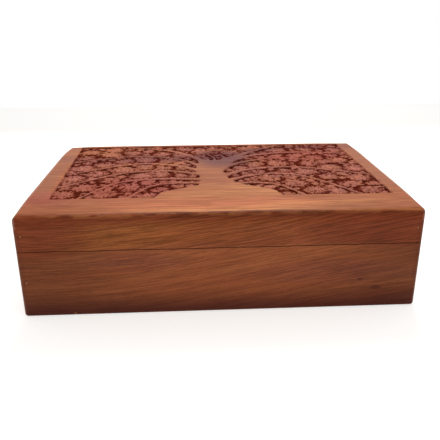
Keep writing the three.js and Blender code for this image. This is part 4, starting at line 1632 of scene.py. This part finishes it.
def hang_lamp(stage):
    """Hangs one large soft lamp behind and above the box."""
    place = (0.1, 0.8, 1.0)
    target = Vector((0, 0, 0.03))
    width = 0.7
    deselect_all()
    bpy.ops.object.light_add(type="AREA", location=place)
    lamp = bpy.context.object
    lamp.name = "soft_lamp"
    lamp.data.shape = "DISK"
    lamp.data.size = width
    lamp.data.energy = stage.lamp
    aim = target - lamp.location
    lamp.rotation_euler = aim.to_track_quat("-Z", "Y").to_euler()


def white_room(stage):
    """A world that looks white and lights the box a little less."""
    world = bpy.data.worlds.new("White Room")
    world.use_nodes = True
    wires = Wiring(world.node_tree)
    strength = seen_by_eye(wires).fade(0, 1, stage.sky, 1.0)
    sky = wires.take("Background", {"Color": WHITE, "Strength": strength})
    wires.add("OutputWorld", {"Surface": sky})
    return world


def set_camera(stage):
    """Sets the camera where the photograph was taken from."""
    deselect_all()
    bpy.ops.object.camera_add(location=CAMERA_PLACE)
    camera = bpy.context.object
    camera.name = "photo_camera"
    forward = Vector(CAMERA_FORWARD).normalized()
    right = Vector(CAMERA_RIGHT)
    right = (right - forward * right.dot(forward)).normalized()
    up = right.cross(forward)
    camera.rotation_euler = Matrix((right, up, -forward)).transposed().to_euler()
    camera.data.lens = stage.lens
    camera.data.sensor_width = 36
    camera.data.clip_start = 0.01
    return camera


# Operators

class CarveTop(bpy.types.Operator):
    """Models the lid's top board with its eased edges and its carved tree"""

    bl_idname = "keepsake.carve_top"
    bl_label = "Carve Top Board"

    def execute(self, context):
        carving = settings().carving
        boards = settings().boards
        cell = carving.cell / MM
        ease = (boards.top_edge + boards.top_edge_at_corners) / MM
        left, right = FIELD_LEFT - FIELD_MARGIN, FIELD_RIGHT + FIELD_MARGIN
        front, rear = FIELD_FRONT - FIELD_MARGIN, FIELD_REAR + FIELD_MARGIN
        across = board_lines(HALF_WIDTH / MM, left, right, cell, ease)
        along = board_lines(HALF_DEPTH / MM, front, rear, cell, ease)
        piece, places, column, row = add_surface("carved_top_board", across, along)

        relief = carved_heights(across, along, carving)
        x, y = np.meshgrid(across, along)
        placed_x, placed_y, to_edge = rounded_plan(x, y, boards.corner / MM)
        z = BOX_HEIGHT / MM - HEIGHT_RESERVE + relief + eased_edge(x, y, to_edge, boards)
        for axis, values in enumerate((placed_x, placed_y, z)):
            places[:, axis] = values[row, column] * MM
        piece.data.vertices.foreach_set("co", places.ravel())
        piece.data.update()

        thin_out(piece, carving.triangles)
        close_below(piece, RAIL_TOP)
        smooth(piece, TOP_SMOOTH_ANGLE)
        finish_piece(piece, "lid_top_board", finishes()["top"])
        return {"FINISHED"}


class MakeBoards(bpy.types.Operator):
    """Models the four wall boards of the base and the four rails of the lid"""

    bl_idname = "keepsake.make_boards"
    bl_label = "Make Boards"

    def execute(self, context):
        boards = settings().boards
        metal = settings().metal
        made = finishes()
        groups = [(f"base_{side}_board", "base_wood") for side in SIDES]
        groups += [(f"lid_{side}_rail", "lid_wood") for side in SIDES]
        for node, slot in groups:
            in_base = node.startswith("base")
            piece = shape_board(node, boards)
            if in_base:
                reach_x, reach_y = INNER_HALF_WIDTH + boards.rebate, INNER_HALF_DEPTH + boards.rebate
                low = Vector((-reach_x, -reach_y, -MM))
                high = Vector((reach_x, reach_y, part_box("base_bottom_panel")[1].z))
                combine(piece, add_block("rebate", low, high), "DIFFERENCE")
                drill(piece, PANEL_PINS, PANEL_PIN, metal.panel_pin_head, metal.fit)
            if "back" in node:
                bevel_back(piece, BASE_RIM if in_base else LID_RIM, in_base, boards.bevel_angle)
                cut_hinge_pockets(piece, in_base, metal)
                screws = BASE_SCREWS if in_base else LID_SCREWS
                drill(piece, screws, SCREW, metal.screw_head, metal.fit)
            drill(piece, BRADS, BRAD, metal.brad_head, metal.fit)
            smooth(piece)
            kind = "long" if "front" in node or "back" in node else "short"
            finish_piece(piece, node, made[kind])
        return {"FINISHED"}


class MakePanel(bpy.types.Operator):
    """Models the bottom panel, eased all round and bored for its pins"""

    bl_idname = "keepsake.make_panel"
    bl_label = "Make Bottom Panel"

    def execute(self, context):
        metal = settings().metal
        low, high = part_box("base_bottom_panel")
        piece = add_block("shaped_bottom_panel", low, high)
        ease = 0.35 * MM
        bevel_edges(piece, every_edge, ease, segments=3)
        drill(piece, PANEL_PINS, PANEL_PIN, metal.panel_pin_head, metal.fit)
        smooth(piece)
        finish_piece(piece, "base_bottom_panel", finishes()["panel"])
        return {"FINISHED"}


class MakeHinges(bpy.types.Operator):
    """Models the leaves, knuckles and pins of both butt hinges"""

    bl_idname = "keepsake.make_hinges"
    bl_label = "Make Hinges"

    def execute(self, context):
        metal = settings().metal
        for name, side in (("left", -1), ("right", 1)):
            middle = Vector((side * HINGE_LINE.x, HINGE_LINE.y, HINGE_LINE.z))
            for part in ("base", "lid"):
                node = f"{name}_hinge_{part}_leaf"
                finish_brass(make_leaf(node, part == "base", middle, metal), node)
            node = f"{name}_hinge_pin"
            finish_brass(make_hinge_pin(node, middle, metal), node)
        return {"FINISHED"}


class MakeScrews(bpy.types.Operator):
    """Turns the slotted screws of the hinges"""

    bl_idname = "keepsake.make_screws"
    bl_label = "Make Screws"

    def execute(self, context):
        metal = settings().metal
        past_head, slot_depth, clear = 0.4 * MM, 0.3 * MM, 0.5 * MM
        half_length, half_width = metal.screw_head + past_head, metal.screw_slot / 2
        low = Vector((-half_length, -half_width, -slot_depth))
        high = Vector((half_length, half_width, clear))
        model = turn_piece("model_screw", in_metres(screw_rings(metal.screw_head / MM)), NAIL_SIDES)
        for node, angle in zip(BASE_SCREWS + LID_SCREWS, SLOT_ANGLES):
            spot, out = nail_place(node)
            piece = copy_piece(model, "shaped_" + node)
            stand_at(piece, spot, out)
            slot = add_block("slot", low, high)
            slot.rotation_euler = (0, 0, math.radians(angle))
            apply_place(slot)
            stand_at(slot, spot, out)
            combine(piece, slot, "DIFFERENCE")
            finish_brass(piece, node)
        bpy.data.objects.remove(model)
        return {"FINISHED"}


class MakeNails(bpy.types.Operator):
    """Turns the brads at the corners and the pins of the bottom panel"""

    bl_idname = "keepsake.make_nails"
    bl_label = "Make Nails"

    def execute(self, context):
        metal = settings().metal
        kinds = (
            (BRADS, BRAD, metal.brad_head),
            (PANEL_PINS, PANEL_PIN, metal.panel_pin_head),
        )
        for nodes, size, head in kinds:
            model = turn_piece("model_nail", in_metres(nail_rings(size, head / MM)), NAIL_SIDES)
            for node in nodes:
                piece = copy_piece(model, "shaped_" + node)
                stand_at(piece, *nail_place(node))
                smooth(piece)
                finish_piece(piece, node, finishes()["steel"])
            bpy.data.objects.remove(model)
        return {"FINISHED"}


class SetStage(bpy.types.Operator):
    """Lays the floor and sets the lights and the camera"""

    bl_idname = "keepsake.set_stage"
    bl_label = "Set Stage"

    def execute(self, context):
        stage = settings().stage
        floor = lay_floor(stage)
        hang_lamp(stage)
        context.scene.world = white_room(stage)
        context.scene.camera = set_camera(stage)
        context.scene.view_settings.view_transform = "Standard"
        return {"FINISHED"}


class BoxPanel(bpy.types.Panel):
    """Lists the steps that make the box, and its settings"""

    bl_idname = "VIEW3D_PT_keepsake_box"
    bl_label = "Keepsake Box"
    bl_space_type = "VIEW_3D"
    bl_region_type = "UI"
    bl_category = "Keepsake Box"

    def draw(self, context):
        layout = self.layout
        for step in STEPS:
            layout.operator(step.bl_idname)
        for group in ("carving", "boards", "metal", "finish", "stage"):
            box = layout.box()
            values = getattr(settings(), group)
            for name in values.__annotations__:
                box.prop(values, name)


STEPS = (SetStage, CarveTop, MakeBoards, MakePanel, MakeHinges, MakeScrews, MakeNails)
CLASSES = (
    CarvingSettings, BoardSettings, MetalSettings, FinishSettings, StageSettings, BoxSettings,
    *STEPS, BoxPanel,
)


def register():
    for kind in CLASSES:
        bpy.utils.register_class(kind)
    bpy.types.Scene.keepsake_box = bpy.props.PointerProperty(type=BoxSettings)


def unregister():
    del bpy.types.Scene.keepsake_box
    for kind in reversed(CLASSES):
        bpy.utils.unregister_class(kind)


def main():
    register()
    bpy.ops.keepsake.set_stage()
    bpy.ops.keepsake.carve_top()
    bpy.ops.keepsake.make_boards()
    bpy.ops.keepsake.make_panel()
    bpy.ops.keepsake.make_hinges()
    bpy.ops.keepsake.make_screws()
    bpy.ops.keepsake.make_nails()


if __name__ == "__main__":
    main()
